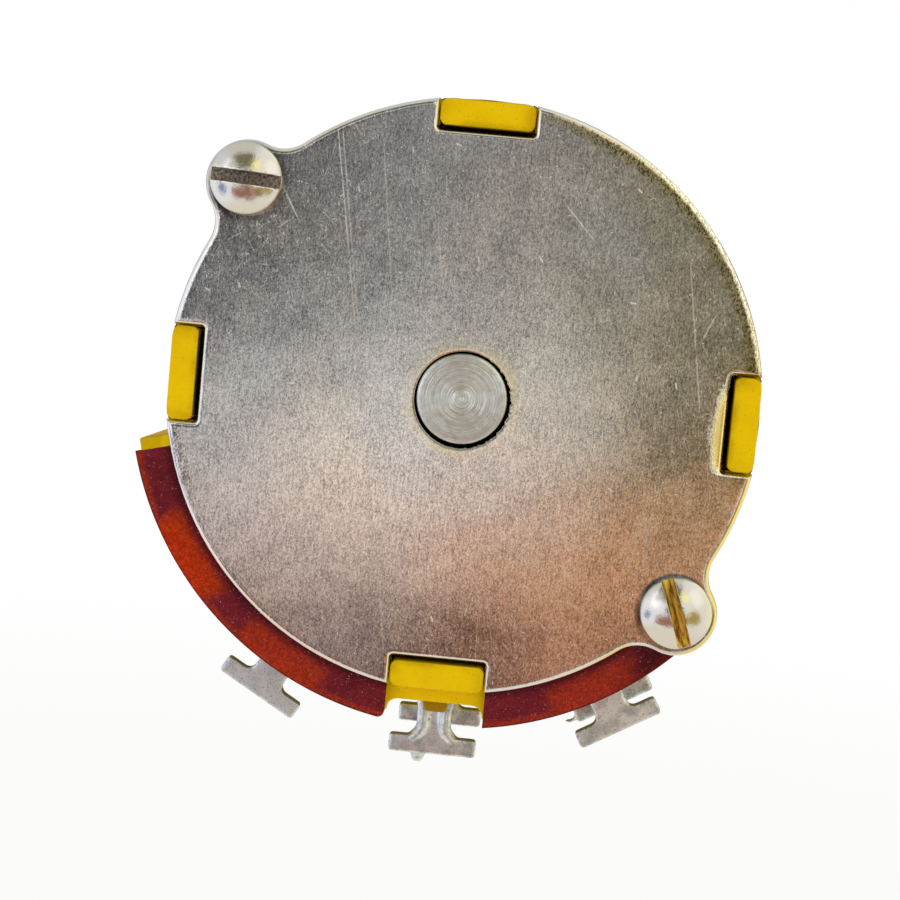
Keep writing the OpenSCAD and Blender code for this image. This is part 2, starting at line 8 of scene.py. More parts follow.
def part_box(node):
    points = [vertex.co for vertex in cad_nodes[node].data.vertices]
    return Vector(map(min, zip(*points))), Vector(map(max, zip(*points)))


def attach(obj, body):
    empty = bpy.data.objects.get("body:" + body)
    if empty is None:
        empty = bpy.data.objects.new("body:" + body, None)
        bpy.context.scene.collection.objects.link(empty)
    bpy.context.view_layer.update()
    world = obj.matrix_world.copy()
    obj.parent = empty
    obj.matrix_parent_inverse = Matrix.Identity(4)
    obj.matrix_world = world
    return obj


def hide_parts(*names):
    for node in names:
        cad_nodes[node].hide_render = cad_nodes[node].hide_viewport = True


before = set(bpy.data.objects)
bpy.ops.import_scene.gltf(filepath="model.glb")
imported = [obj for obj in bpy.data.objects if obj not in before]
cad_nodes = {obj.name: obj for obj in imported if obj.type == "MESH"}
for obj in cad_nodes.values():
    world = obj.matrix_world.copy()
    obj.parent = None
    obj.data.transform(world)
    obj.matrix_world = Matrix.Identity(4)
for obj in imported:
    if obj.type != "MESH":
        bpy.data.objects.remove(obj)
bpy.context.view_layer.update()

# Front plate
# Stamped from thick aluminium sheet to the same outline as the rear plate, with a notch for each lug and
# two ears that are tapped for the case screws. A tab struck out of it fits a hole in the panel.
plate_radius = 21.035
notch_angles = [0, 90, 180, 270]
notch_width = 6.8
notch_floor = 18.585
notch_corner = 0.2
notch_roll = 0.75
ear_angles = [140, 320]
ear_radius = 3
ear_fillet = 2.5
screw_circle = 21.335
front_thickness = 1.6
front_roll = 0.45
burr_round = 0.06
tab_distance = 13.5
tab_width = 3
tab_height = 2.4
tab_round = 0.3
tapped_radius = 1.45
bushing_hole_radius = 4.4425
rim_steps = 24
flat_border = 0.2
flat_crown = 0.002
weld_distance = 0.0005
level_tolerance = 0.0001
sharp_angle = 32

# Where the wear, stains, painted reflections and darkening on a plate start and are full: distances from the
# shaft's axis, or places right and up of it.
rim_band = (20.4, 20.8)
stain_band = (20.3, 20.9)
stained_right = (10.0, 18.0)
stained_up = (-6.0, 0.0)
grime_inner = 18.4
gritty_left = (-17.0, -19.5)
gritty_down = (1.0, -2.0)
reflection_right = (8.0, 14.0)
reflection_down = (12.0, -6.0)
specked_up = (-4.0, 2.0)
dip_start = 17.6
dip_half = (3.7, 3.1)
hole_halo = (4.6, 3.5)
hole_edge = (4.6, 4.0)
mark_width = (0.08, 0.02)

# Pieces are drawn in millimetres, lying flat as seen from the rear: x right, y up, z from the mounting face
# to the rear. This matrix stands them up in the part's frame, in metres.
MM = 0.001
stand_up = Matrix.Rotation(math.radians(90), 4, "X") @ Matrix.Scale(MM, 4)


def direction(angle):
    """Unit vector at an angle in degrees, counter-clockwise from +x."""
    return Vector((math.cos(math.radians(angle)), math.sin(math.radians(angle))))


def arc(centre, radius, start, end, steps=8):
    """Points along an arc, both ends included."""
    turns = [start + (end - start) * i / steps for i in range(steps + 1)]
    return [Vector(centre) + radius * direction(turn) for turn in turns]


screw_places = [screw_circle * direction(angle) for angle in ear_angles]


def turned(points, angle):
    """The points turned about the shaft's axis."""
    turn = Matrix.Rotation(math.radians(angle), 2)
    return [turn @ point for point in points]


def notch(inset):
    """A notch on +x, from the rim to its floor and out again. Its edge is drawn back less than the rim."""
    half = notch_width / 2
    drawn = notch_roll * inset
    side = half + drawn
    rim = math.sqrt((plate_radius - inset) ** 2 - side ** 2)
    floor = notch_floor + notch_corner
    radius = notch_corner + drawn
    lower = arc((floor, notch_corner - half), radius, 270, 180, 4)
    upper = arc((floor, half - notch_corner), radius, 180, 90, 4)
    return [Vector((rim, -side))] + lower + upper + [Vector((rim, side))]


def ear(inset):
    """An ear on +x: its round end and the two fillets that blend it into the rim."""
    rim_reach = plate_radius + ear_fillet
    end_reach = ear_radius + ear_fillet
    across = rim_reach ** 2 + screw_circle ** 2 - end_reach ** 2
    turn = math.degrees(math.acos(across / (2 * rim_reach * screw_circle)))
    fillet = rim_reach * direction(turn)
    lean = math.degrees(math.atan2(fillet.y, fillet.x - screw_circle))
    lower = arc((fillet.x, -fillet.y), ear_fillet + inset, 180 - turn, 180 - lean)
    end = arc((screw_circle, 0), ear_radius - inset, -lean, lean, 24)
    upper = arc(fillet, ear_fillet + inset, 180 + lean, 180 + turn)
    return lower + end[1:-1] + upper


def plate_outline(inset):
    """The outline of both plates, counter-clockwise, with the metal drawn back by inset."""
    features = [(angle, notch) for angle in notch_angles] + [(angle, ear) for angle in ear_angles]
    features.sort(key=lambda feature: feature[0])
    outline = []
    for i, (angle, feature) in enumerate(features):
        points = feature(inset)
        after, next_feature = features[(i + 1) % len(features)]
        first = next_feature(inset)[0]
        start = angle + math.degrees(math.atan2(points[-1].y, points[-1].x))
        end = after + (360 if after <= angle else 0) + math.degrees(math.atan2(first.y, first.x))
        rim = arc((0, 0), plate_radius - inset, start, end, rim_steps)
        outline += turned(points, angle) + rim[1:-1]
    return outline


def round_hole(centre, radius):
    """Outline of a round hole, which grows as the metal is drawn back."""
    return lambda inset: arc(centre, radius + inset, 0, 360, 64)[:-1]


def rolled_edge(low, high, low_round, high_round, steps=4):
    """Edge of a sheet as (inset, height) pairs, rounded at both faces, with a narrow border on each face."""
    quarter = [math.radians(90 * i / steps) for i in range(steps + 1)]
    floor = low + flat_crown
    top = high - flat_crown
    lower = [(low_round * (1 - math.sin(q)), floor + low_round * (1 - math.cos(q))) for q in quarter]
    upper = [(high_round * (1 - math.cos(q)), top - high_round * (1 - math.sin(q))) for q in quarter]
    return [(low_round + flat_border, low)] + lower + upper + [(high_round + flat_border, high)]


def edge_loop(bm, points, height):
    """A closed loop of edges through the points at one height."""
    verts = [bm.verts.new((point.x, point.y, height)) for point in points]
    return [bm.edges.new(pair) for pair in zip(verts, verts[1:] + verts[:1])]


def fill_level(bm, height):
    """Fills between all open edges at one height."""
    level = [e for e in bm.edges if e.is_wire or e.is_boundary]
    level = [e for e in level if all(abs(v.co.z - height) < level_tolerance for v in e.verts)]
    bmesh.ops.triangle_fill(bm, use_beauty=True, edges=level, normal=(0, 0, 1))


def sheet(bm, edges):
    """A flat piece from (outline, edge profile) pairs: its rim first, then its holes."""
    for outline, profile in edges:
        loops = [edge_loop(bm, outline(inset), height) for inset, height in profile]
        for low, high in zip(loops, loops[1:]):
            bmesh.ops.bridge_loops(bm, edges=low + high)
    for end in (0, -1):
        fill_level(bm, edges[0][1][end][1])


def block(bm, size, middle, rounding=0, segments=2):
    """A block of that size about its middle, with its edges rounded where a rounding is given."""
    verts = bmesh.ops.create_cube(bm, size=1)["verts"]
    bmesh.ops.scale(bm, vec=size, verts=verts)
    bmesh.ops.translate(bm, vec=middle, verts=verts)
    edges = list(dict.fromkeys(edge for vert in verts for edge in vert.link_edges))
    if rounding:
        bmesh.ops.bevel(bm, geom=edges, offset=rounding, affect="EDGES", segments=segments, profile=0.5,
                        material=-1)


def piece(bm, name, finishes, body, slot, *replaced):
    """Stands a drawn mesh up in the part's frame as a piece of that body, in place of the CAD nodes."""
    bmesh.ops.remove_doubles(bm, verts=bm.verts, dist=weld_distance)
    bmesh.ops.recalc_face_normals(bm, faces=bm.faces)
    bmesh.ops.transform(bm, matrix=stand_up, verts=bm.verts)
    for face in bm.faces:
        face.smooth = True
    mesh = bpy.data.meshes.new(name)
    bm.to_mesh(mesh)
    bm.free()
    mesh.set_sharp_from_angle(angle=math.radians(sharp_angle))
    for finish in finishes:
        mesh.materials.append(finish)
    made = bpy.data.objects.new(name, mesh)
    bpy.context.scene.collection.objects.link(made)
    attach(made, body)
    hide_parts(*replaced)
    return made


class Shade:
    """A socket of a material. Sums with it add Math nodes, and node() adds a node of any kind."""

    def __init__(self, tree, socket=None):
        self.tree = tree
        self.socket = socket

    def node(self, kind, settings=None, inputs=None, output=0):
        """A new node: its settings first, then the values or links of its sockets."""
        made = self.tree.nodes.new("ShaderNode" + kind)
        for name, value in (settings or {}).items():
            setattr(made, name, value)
        for name, value in (inputs or {}).items():
            if isinstance(value, Shade):
                self.tree.links.new(value.socket, made.inputs[name])
            else:
                made.inputs[name].default_value = value
        return Shade(self.tree, made.outputs[output] if made.outputs else None)

    def out(self, name):
        """Another output of the same node."""
        return Shade(self.tree, self.socket.node.outputs[name])

    def maths(self, operation, first, second=0.0):
        """A Math node on one or two values."""
        return self.node("Math", {"operation": operation}, {0: first, 1: second})

    def __add__(self, other):
        return self.maths("ADD", self, other)

    def __radd__(self, other):
        return self.maths("ADD", other, self)

    def __sub__(self, other):
        return self.maths("SUBTRACT", self, other)

    def __rsub__(self, other):
        return self.maths("SUBTRACT", other, self)

    def __mul__(self, other):
        return self.maths("MULTIPLY", self, other)

    def __rmul__(self, other):
        return self.maths("MULTIPLY", other, self)

    def __truediv__(self, other):
        return self.maths("DIVIDE", self, other)

    def __abs__(self):
        return self.maths("ABSOLUTE", self)


def new_finish(name):
    """An empty material, and the shade that its nodes start from."""
    made = bpy.data.materials.new(name)
    made.use_nodes = True
    made.node_tree.nodes.clear()
    return made, Shade(made.node_tree)


def place_on(shade, stretch=(1, 1, 1)):
    """Place on the part in millimetres, stretched."""
    place = shade.node("TexCoord", output="Object")
    scale = [factor / MM for factor in stretch]
    return shade.node("Mapping", {}, {"Vector": place, "Scale": scale})


def axes_of(shade, place):
    """The three parts of a place or direction."""
    split = shade.node("SeparateXYZ", {}, {0: place})
    return [split.out(axis) for axis in "XYZ"]


def speckle(shade, place, size, detail=2.0, roughness=0.5):
    """Soft noise from 0 to 1 with grains of that size in millimetres."""
    inputs = {"Vector": place, "Scale": 1 / size, "Detail": detail, "Roughness": roughness}
    return shade.node("TexNoise", {}, inputs)


def rise(shade, value, low, high):
    """0 below low and 1 above high, smooth between, or the other way round where low is above high."""
    span = {"Value": value, "From Min": low, "From Max": high}
    return shade.node("MapRange", {"interpolation_type": "SMOOTHSTEP"}, span)


def either(shade, first, second):
    """The stronger of two masks."""
    return shade.maths("MAXIMUM", first, second)


def distance(shade, right, up):
    """Length of a line that runs so far right and so far up."""
    return shade.maths("SQRT", right * right + up * up)


def tilt_of(shade):
    """The three parts of the direction that the surface faces."""
    return axes_of(shade, shade.node("TexCoord", output="Normal"))


def tint(shade, share, first, second):
    """The first colour at share 0, the second at share 1."""
    first = first if isinstance(first, Shade) else (*first, 1)
    second = second if isinstance(second, Shade) else (*second, 1)
    return shade.node("Mix", {"data_type": "RGBA"}, {0: share, 6: first, 7: second}, 2)


def relief(shade, height, depth):
    """A bump of that depth in millimetres."""
    return shade.node("Bump", {}, {"Height": height, "Strength": 1.0, "Distance": depth * MM})


def surface(shade, inputs):
    """Ends a material with a Principled surface."""
    made = shade.node("BsdfPrincipled", {}, inputs)
    shade.node("OutputMaterial", {}, {"Surface": made})


def scratches(shade, place, spacing, length, width, lean, spread, share):
    """Short straight scratches in the plate's plane, one to a cell, as a mask from 0 to 1."""
    cells = shade.node("TexVoronoi", {}, {"Vector": place, "Scale": 1 / spacing})
    centre = cells.out("Position")
    offset = shade.node("VectorMath", {"operation": "SUBTRACT"}, {0: place, 1: centre})
    right, _, up = axes_of(shade, offset)
    turn_chance, there, bold = axes_of(shade, cells.out("Color"))
    turn = math.radians(lean) + math.radians(spread) * (turn_chance - 0.5)
    cosine = shade.maths("COSINE", turn)
    sine = shade.maths("SINE", turn)
    across = abs(right * sine - up * cosine)
    along = abs(right * cosine + up * sine)
    line = rise(shade, across, width, width * 0.3) * rise(shade, along, length / 2, length / 4)
    return line * rise(shade, there, 1 - share, 1 - share + 0.02) * (0.35 + 0.65 * bold)


def scored_lines(shade, place, worn, marks):
    """Nicks, dents and scratches all over, and long marks (start, end, strength), as a mask from 0 to 1."""
    right, _, up = axes_of(shade, place)
    nicks = scratches(shade, place, spacing=0.42, length=0.3, width=0.045, lean=90, spread=150, share=0.25)
    nicks = nicks * rise(shade, worn, 0.42, 0.6)
    dents = scratches(shade, place, spacing=2.6, length=0.55, width=0.09, lean=40, spread=300, share=0.22)
    short = scratches(shade, place, spacing=1.7, length=1.5, width=0.035, lean=88, spread=130, share=0.45)
    long = scratches(shade, place, spacing=5.5, length=5.0, width=0.04, lean=93, spread=40, share=0.6)
    long = long * rise(shade, worn, 0.35, 0.55)
    scored = either(shade, either(shade, 0.5 * short, 0.35 * long), either(shade, nicks, dents))
    broken = rise(shade, worn, 0.25, 0.5)
    for start, end, strength in marks:
        run = Vector(end) - Vector(start)
        unit = run.normalized()
        along = (right - start[0]) * unit.x + (up - start[1]) * unit.y
        across = abs((right - start[0]) * -unit.y + (up - start[1]) * unit.x)
        line = rise(shade, across, *mark_width) * rise(shade, along, -0.1, 0.5)
        line = line * rise(shade, along, run.length + 0.1, run.length - 1.2) * broken
        scored = either(shade, scored, strength * line)
    return scored


def screw_shade(shade, right, up, cloud, screw_reach):
    """Painted shade round both screws, mottled, as a mask from 0 to 1."""
    dirt_and_shade = 0.0
    for screw in screw_places:
        aside = distance(shade, right - screw.x, up - screw.y)
        ring = rise(shade, aside, screw_reach + 0.5, screw_reach + 0.05)
        dirt_and_shade = either(shade, dirt_and_shade, ring * (0.35 + 0.5 * cloud))
    return dirt_and_shade


def sheet_metal(name, marks, screw_reach, rim_stain_and_dip):
    """Rolled aluminium with an upright grain, blotches, scored lines, painted shade round the screws and a
    painted warm reflection on its rolled edge facing right. Where its last argument is 1, its rim is stained
    and gritty, and it dips beside the notch on the right, with a painted yellow reflection in the dip."""
    made, shade = new_finish(name)
    place = place_on(shade)
    right, _, up = axes_of(shade, place)
    radius = distance(shade, right, up)
    tilt_right, tilt_deep, _ = tilt_of(shade)
    flat = rise(shade, abs(tilt_deep), 0.9, 0.99)
    rolled = 1.0 - flat
    grain = rise(shade, speckle(shade, place_on(shade, (8, 8, 4.2)), 1.0, 4.0, 0.7), 0.3, 0.7)
    streak = rise(shade, speckle(shade, place_on(shade, (6, 6, 0.8)), 1.0, 3.0, 0.65), 0.3, 0.7)
    pepper = rise(shade, speckle(shade, place_on(shade, (1.4, 1.4, 1)), 0.12, 2.0, 0.6), 0.3, 0.7)
    cloud = rise(shade, speckle(shade, place, 2.6, 4.0, 0.62), 0.35, 0.65)
    fleck = speckle(shade, place_on(shade, (1.5, 1.5, 1)), 0.2, 3.0, 0.65)
    worn = speckle(shade, place, 0.6, 3.0, 0.6)
    sway = speckle(shade, place, 9.0, 1.0)
    specks = rise(shade, fleck - 0.05 * cloud, 0.61, 0.68)
    marked = either(shade, scored_lines(shade, place, worn, marks), 0.8 * specks)

    right_side = rise(shade, right + 0.5 * up, *stained_right) * rise(shade, up, *stained_up)
    right_side = rim_stain_and_dip * flat * right_side
    left_side = rim_stain_and_dip * flat * rise(shade, right, *gritty_left) * rise(shade, up, *gritty_down)
    stain = right_side * rise(shade, radius + 1.2 * worn, *stain_band)
    rim_grime = rise(shade, radius, grime_inner, rim_band[1]) * rise(shade, worn, 0.42, 0.56)
    rim_grit = rise(shade, radius + 1.2 * worn, *rim_band) * rise(shade, fleck, 0.51, 0.55)
    dirt_and_shade = right_side * either(shade, 0.3 * rim_grime, 0.9 * rim_grit)
    dirt_and_shade = either(shade, dirt_and_shade, 0.7 * left_side * rim_grit)
    dirt_and_shade = either(shade, dirt_and_shade, screw_shade(shade, right, up, cloud, screw_reach))
    bowed = right - 0.06 * (up + 0.8) * (up + 0.8) + 0.7 * fleck
    dip = rim_stain_and_dip * rise(shade, abs(up), *dip_half) * rise(shade, bowed, dip_start + 0.1, dip_start + 0.7)
    halo = rise(shade, radius, *hole_halo) * (0.3 + 0.7 * cloud)
    # Painted warm reflection on the rolled edge that faces right: pale above, gold below.
    rim_reflection_mask = rolled * rise(shade, tilt_deep, -0.1, -0.4) * rise(shade, tilt_right, 0.05, 0.22)
    rim_reflection_mask = rim_reflection_mask * rise(shade, right, *reflection_right)
    rim_reflection_colour = tint(shade, rise(shade, up, *reflection_down), (1.0, 0.98, 0.86), (0.86, 0.68, 0.24))
    rim_specks = rim_stain_and_dip * rim_reflection_mask * rise(shade, up, *specked_up) * rise(shade, fleck, 0.50, 0.54)

    uneven = 0.5 * grain + 0.3 * streak + 0.6 * pepper - 0.18 * cloud - 0.61
    level = 0.7 + flat * (uneven - 0.18)
    light = tint(shade, rise(shade, sway, 0.35, 0.65), (0.94, 0.96, 0.99), (1.0, 0.965, 0.92))
    colour = tint(shade, level, (0.28, 0.283, 0.29), light)
    colour = tint(shade, marked, colour, (0.93, 0.92, 0.90))
    colour = tint(shade, 0.5 * halo, colour, (0.80, 0.72, 0.42))
    colour = tint(shade, 0.65 * stain, colour, (0.72, 0.63, 0.32))
    # Rim grime and grit, and painted shade round the screws.
    colour = tint(shade, dirt_and_shade, colour, (0.07, 0.06, 0.03))
    # Painted yellow reflection in the dip beside the right notch.
    colour = tint(shade, 0.9 * dip, colour, (1.0, 0.88, 0.40))
    colour = tint(shade, 0.9 * rim_reflection_mask, colour, rim_reflection_colour)
    colour = tint(shade, 0.75 * rim_specks, colour, (0.30, 0.27, 0.12))
    # Darker on the rolled edge of the hole.
    colour = tint(shade, 0.8 * rolled * rise(shade, radius, *hole_edge), colour, (0.30, 0.28, 0.20))
    height = 0.1 * grain + 0.06 * fleck + 9 * sway - 40 * dip * (right - dip_start)
    surface(shade, {
        "Base Color": colour,
        "Metallic": 1.0,
        "Roughness": 0.12 - 0.02 * cloud + 0.05 * grain + 0.42 * marked,
        "Normal": relief(shade, height, 0.006),
    })
    return made


def tab_window(inset):
    """The window that the locating tab was struck out of."""
    low = tab_distance - front_thickness / 2 - tab_height - inset
    high = tab_distance - front_thickness / 2 + inset
    half = tab_width / 2 + inset
    return [Vector((-x, y)) for x, y in ((low, -half), (low, half), (high, half), (high, -half))]


front_metal = sheet_metal("front_plate_metal", [((-9, 12), (6, 14), 0.5), ((8, -15), (13, 3), 0.4)],
                          tapped_radius, 0.0)
front_rim = rolled_edge(0, front_thickness, front_roll, burr_round)
front_hole = rolled_edge(0, front_thickness, burr_round, burr_round)
plate_mesh = bmesh.new()
tapped = [(round_hole(screw, tapped_radius), front_hole) for screw in screw_places]
bushing_hole = (round_hole((0, 0), bushing_hole_radius), front_hole)
sheet(plate_mesh, [(plate_outline, front_rim), bushing_hole, (tab_window, front_hole)] + tapped)
tab_size = (front_thickness, tab_width, tab_height + front_thickness / 2)
tab_middle = (-tab_distance, 0, front_thickness / 4 - tab_height / 2)
block(plate_mesh, tab_size, tab_middle, tab_round, 3)
piece(plate_mesh, "front_plate_sheet", [front_metal], "case", "plate_metal", "front_plate")

# Bushing
# Turned from brass and nickel plated, with a 32 threads per inch mounting thread. A shank behind the thread
# goes through the front plate and is riveted over inside.
bushing_radius = 4.7625
bushing_length = 9.53
bushing_chamfer = 0.6
bushing_bore = 3.2
bore_chamfer = 0.3
shank_radius = 4.4125
thread_relief = 0.5
flange_radius = 6.0625
flange_thickness = 0.8
flange_chamfer = 0.24
thread_pitch = 25.4 / 32
thread_depth = 0.48
thread_steps = 48
cut_tolerance = 0.00001


def chain(bm, points):
    """A line of edges in the x-z plane through (radius, height) points."""
    verts = [bm.verts.new((radius, 0, height)) for radius, height in points]
    return verts + [bm.edges.new(pair) for pair in zip(verts, verts[1:])]


def spun(bm, points, steps=64):
    """Turns a (radius, height) profile about the axis, as a lathe does."""
    bmesh.ops.spin(bm, geom=chain(bm, points), cent=(0, 0, 0), axis=(0, 0, 1), angle=2 * math.pi, steps=steps,
                   use_merge=True)


def cut_off(bm, height, up):
    """Cuts away what lies above a height, or below it where up is -1."""
    everything = bm.verts[:] + bm.edges[:] + bm.faces[:]
    bmesh.ops.bisect_plane(bm, geom=everything, dist=cut_tolerance, plane_co=(0, 0, height),
                           plane_no=(0, 0, up), clear_outer=True)


def plated_brass():
    """Dull nickel plate over brass, rubbed through to the brass in places."""
    made, shade = new_finish("bushing_plating")
    place = place_on(shade)
    worn = speckle(shade, place, 0.9, 4.0, 0.6)
    lathe = speckle(shade, place_on(shade, (0.4, 14, 0.4)), 1.0, 3.0)
    colour = tint(shade, rise(shade, worn, 0.52, 0.72), (0.70, 0.68, 0.63), (0.72, 0.55, 0.28))
    surface(shade, {
        "Base Color": colour,
        "Metallic": 1.0,
        "Roughness": 0.2 + 0.15 * worn + 0.1 * lathe,
        "Normal": relief(shade, lathe, 0.01),
    })
    return made


thread_mesh = bmesh.new()
crest = [7 / 16, 9 / 16]
root = [1 / 8, 7 / 8, 9 / 8]
thread_start = -bushing_length - 1.5 * thread_pitch
thread_profile = [
    (bushing_radius - (thread_depth if share in root else 0), thread_start + share * thread_pitch)
    for share in sorted(crest + root)
]
chain(thread_mesh, thread_profile)
bmesh.ops.subdivide_edges(thread_mesh, edges=thread_mesh.edges[:], cuts=2)
thread_turns = math.ceil(bushing_length / thread_pitch) + 2
bmesh.ops.spin(thread_mesh, geom=thread_mesh.verts[:] + thread_mesh.edges[:], cent=(0, 0, 0), axis=(0, 0, 1),
               dvec=(0, 0, thread_pitch / thread_steps), angle=2 * math.pi * thread_turns,
               steps=thread_steps * thread_turns)
bmesh.ops.remove_doubles(thread_mesh, verts=thread_mesh.verts, dist=2 * weld_distance)
for vert in thread_mesh.verts:
    reach = vert.co.xy.length
    limit = bushing_radius - bushing_chamfer + max(vert.co.z + bushing_length, -bushing_chamfer)
    if reach > limit:
        vert.co.xy *= limit / reach
cut_off(thread_mesh, -bushing_length, -1)
cut_off(thread_mesh, -thread_relief, 1)
spun(thread_mesh, [
    (shank_radius, -thread_relief),
    (shank_radius, front_thickness),
    (flange_radius, front_thickness),
    (flange_radius, front_thickness + flange_thickness - flange_chamfer),
    (flange_radius - flange_chamfer, front_thickness + flange_thickness),
    (bushing_bore, front_thickness + flange_thickness),
    (bushing_bore, bore_chamfer - bushing_length),
    (bushing_bore + bore_chamfer, -bushing_length),
])
fill_level(thread_mesh, -bushing_length)
fill_level(thread_mesh, -thread_relief)
piece(thread_mesh, "threaded_bushing", [plated_brass()], "case", "plated_brass", "bushing")

# Resistance element
# A laminate card wound with fine resistance wire and bent round the inside of the housing, on a laminate
# washer that insulates it from the front plate. A brass clip and a lead join each end to its terminal.
wires_in_circle = 900


def laminate(name, light, dark):
    """Paper laminate: fibres and a dull resin skin."""
    made, shade = new_finish(name)
    place = place_on(shade)
    fibre = speckle(shade, place_on(shade, (3, 3, 0.6)), 0.5, 4.0, 0.65)
    fleck = speckle(shade, place, 0.12, 2.0)
    surface(shade, {
        "Base Color": tint(shade, rise(shade, fibre, 0.3, 0.7), dark, light),
        "Roughness": 0.42 + 0.2 * fleck,
        "Normal": relief(shade, fibre + 0.5 * fleck, 0.02),
    })
    return made


def close_wound_wire():
    """Turns of bare wire, which cross the card from edge to edge."""
    made, shade = new_finish("close_wound_wire")
    right, _, up = axes_of(shade, place_on(shade))
    turn = shade.maths("ARCTAN2", up, right)
    wave = shade.maths("SINE", turn * wires_in_circle)
    worn = speckle(shade, place_on(shade), 1.5, 3.0)
    surface(shade, {
        "Base Color": tint(shade, worn, (0.46, 0.41, 0.34), (0.60, 0.54, 0.45)),
        "Metallic": 1.0,
        "Roughness": 0.28 + 0.14 * worn,
        "Normal": relief(shade, wave, 0.03),
    })
    return made


def rolled_strip(name, light, dark, roughness):
    """Strip metal with a fine rolling grain and a little tarnish."""
    made, shade = new_finish(name)
    tarnish = speckle(shade, place_on(shade), 1.6, 4.0, 0.6)
    grain = speckle(shade, place_on(shade, (8, 1, 8)), 1.0, 3.0)
    surface(shade, {
        "Base Color": tint(shade, rise(shade, tarnish, 0.35, 0.7), light, dark),
        "Metallic": 1.0,
        "Roughness": roughness + 0.15 * grain + 0.1 * tarnish,
        "Normal": relief(shade, grain, 0.008),
    })
    return made


def dress(finish, *names):
    """Gives CAD nodes a finish."""
    for name in names:
        cad_nodes[name].material_slots[0].material = finish


brown_laminate = laminate("brown_laminate", (0.34, 0.16, 0.07), (0.20, 0.085, 0.035))
spring_brass = rolled_strip("spring_brass", (0.78, 0.58, 0.28), (0.55, 0.37, 0.15), 0.25)
tinned_lead = rolled_strip("tinned_lead", (0.66, 0.65, 0.62), (0.48, 0.47, 0.45), 0.35)
dress(brown_laminate, "base_insulator", "resistance_card")
dress(close_wound_wire(), "resistance_winding")
dress(spring_brass, "end_clip_1", "end_clip_3")
dress(tinned_lead, "end_lead_1", "end_lead_3")

# Collector
# A flat brass ring on the insulator that the second contact runs on, with a brass strip from its tab up to
# the middle terminal.
dress(spring_brass, "collector_ring", "collector_strip")

# Wiper
# A moulded hub fixed to the shaft by a set screw, with a plastic thrust washer between it and the bushing.
# Two rivets hold a spring arm on each side of its paddle, one with the contact on the winding, the other with
# the contact on the collector ring.
hub_moulding = laminate("hub_moulding", (0.075, 0.055, 0.04), (0.045, 0.032, 0.024))
contact_metal = rolled_strip("contact_metal", (0.80, 0.79, 0.76), (0.62, 0.61, 0.58), 0.2)
blackened_steel = rolled_strip("blackened_steel", (0.16, 0.16, 0.17), (0.08, 0.08, 0.085), 0.32)
washer_plastic = laminate("washer_plastic", (0.82, 0.81, 0.77), (0.74, 0.73, 0.68))
dress(washer_plastic, "thrust_washer")
dress(hub_moulding, "rotor_hub")
dress(blackened_steel, "set_screw")
dress(spring_brass, "contact_arm", "collector_arm", "wiper_rivets")
dress(contact_metal, "contact_brush", "collector_brush")

# Shaft
# A plain round shaft of quarter inch stainless steel, turned in a lathe. Facing its rear end left fine rings
# and a small pip at the centre, and the front end is chamfered for a knob. It turns in the bushing.
case_depth = -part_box("rear_plate")[0].y / MM
shaft_radius = 3.175
shaft_front = -22.2
shaft_back = case_depth + 0.4
end_chamfer = 0.45
rear_round = 0.2
rear_round_steps = 5
groove_radius = 2.775
groove_low = -10.46
groove_high = -9.6
pip_radius = 0.16
pip_height = 0.1
face_rings = [2.66, 2.4, 2.12, 1.9, 1.56, 1.05, 0.62, 0.26]
face_ring_depth = 0.014


def turned_steel():
    """Stainless steel with lathe marks: rings on the end faces, fine lines round the shaft."""
    made, shade = new_finish("turned_steel")
    place = place_on(shade)
    right, deep, up = axes_of(shade, place)
    radius = distance(shade, right, up)
    worn = speckle(shade, place, 0.7, 3.0, 0.6)
    spoke = shade.node("CombineXYZ", {}, {0: radius * 3.4, 1: deep * 9, 2: 0.0})
    lathe = speckle(shade, spoke, 1.0, 3.0, 0.62)
    chatter = rise(shade, speckle(shade, place, 1.1, 2.0), 0.35, 0.6)
    _, tilt_deep, _ = tilt_of(shade)
    faced = rise(shade, abs(tilt_deep), 0.5, 0.8)
    bright = tint(shade, faced, (0.60, 0.61, 0.61), (0.76, 0.85, 0.87))
    tarnish = rise(shade, worn, 0.35, 0.65) * (0.2 + 0.8 * faced)
    surface(shade, {
        "Base Color": tint(shade, tarnish, bright, (0.64, 0.69, 0.69)),
        "Metallic": 1.0,
        "Roughness": 0.24 + 0.16 * lathe,
        "Normal": relief(shade, lathe * (0.12 + faced * (0.75 + 0.3 * chatter)), 0.11),
    })
    return made


shaft_mesh = bmesh.new()
face_edge = shaft_radius - rear_round
end_round = [math.radians(90 * i / rear_round_steps) for i in range(rear_round_steps + 1)]
rear_edge = [
    (face_edge + rear_round * math.cos(turn), shaft_back - rear_round * (1 - math.sin(turn)))
    for turn in end_round
]
end_face = [
    (radius, shaft_back - (face_ring_depth if i % 2 == 0 else 0))
    for i, radius in enumerate(face_rings)
]
spun(shaft_mesh, [
    (0, shaft_front),
    (shaft_radius - end_chamfer, shaft_front),
    (shaft_radius, shaft_front + end_chamfer),
    (shaft_radius, groove_low),
    (groove_radius, groove_low),
    (groove_radius, groove_high),
    (shaft_radius, groove_high),
    *rear_edge,
    *end_face,
    (pip_radius, shaft_back),
    (0, shaft_back + pip_height),
], 96)
piece(shaft_mesh, "turned_shaft", [turned_steel()], "rotor", "shaft_steel", "shaft")

# Retaining ring
# An open ring stamped from blackened spring steel. It snaps into the shaft's groove in front of the bushing
# and holds the shaft in.
ring_round = 0.1
flat_angle = 0.5


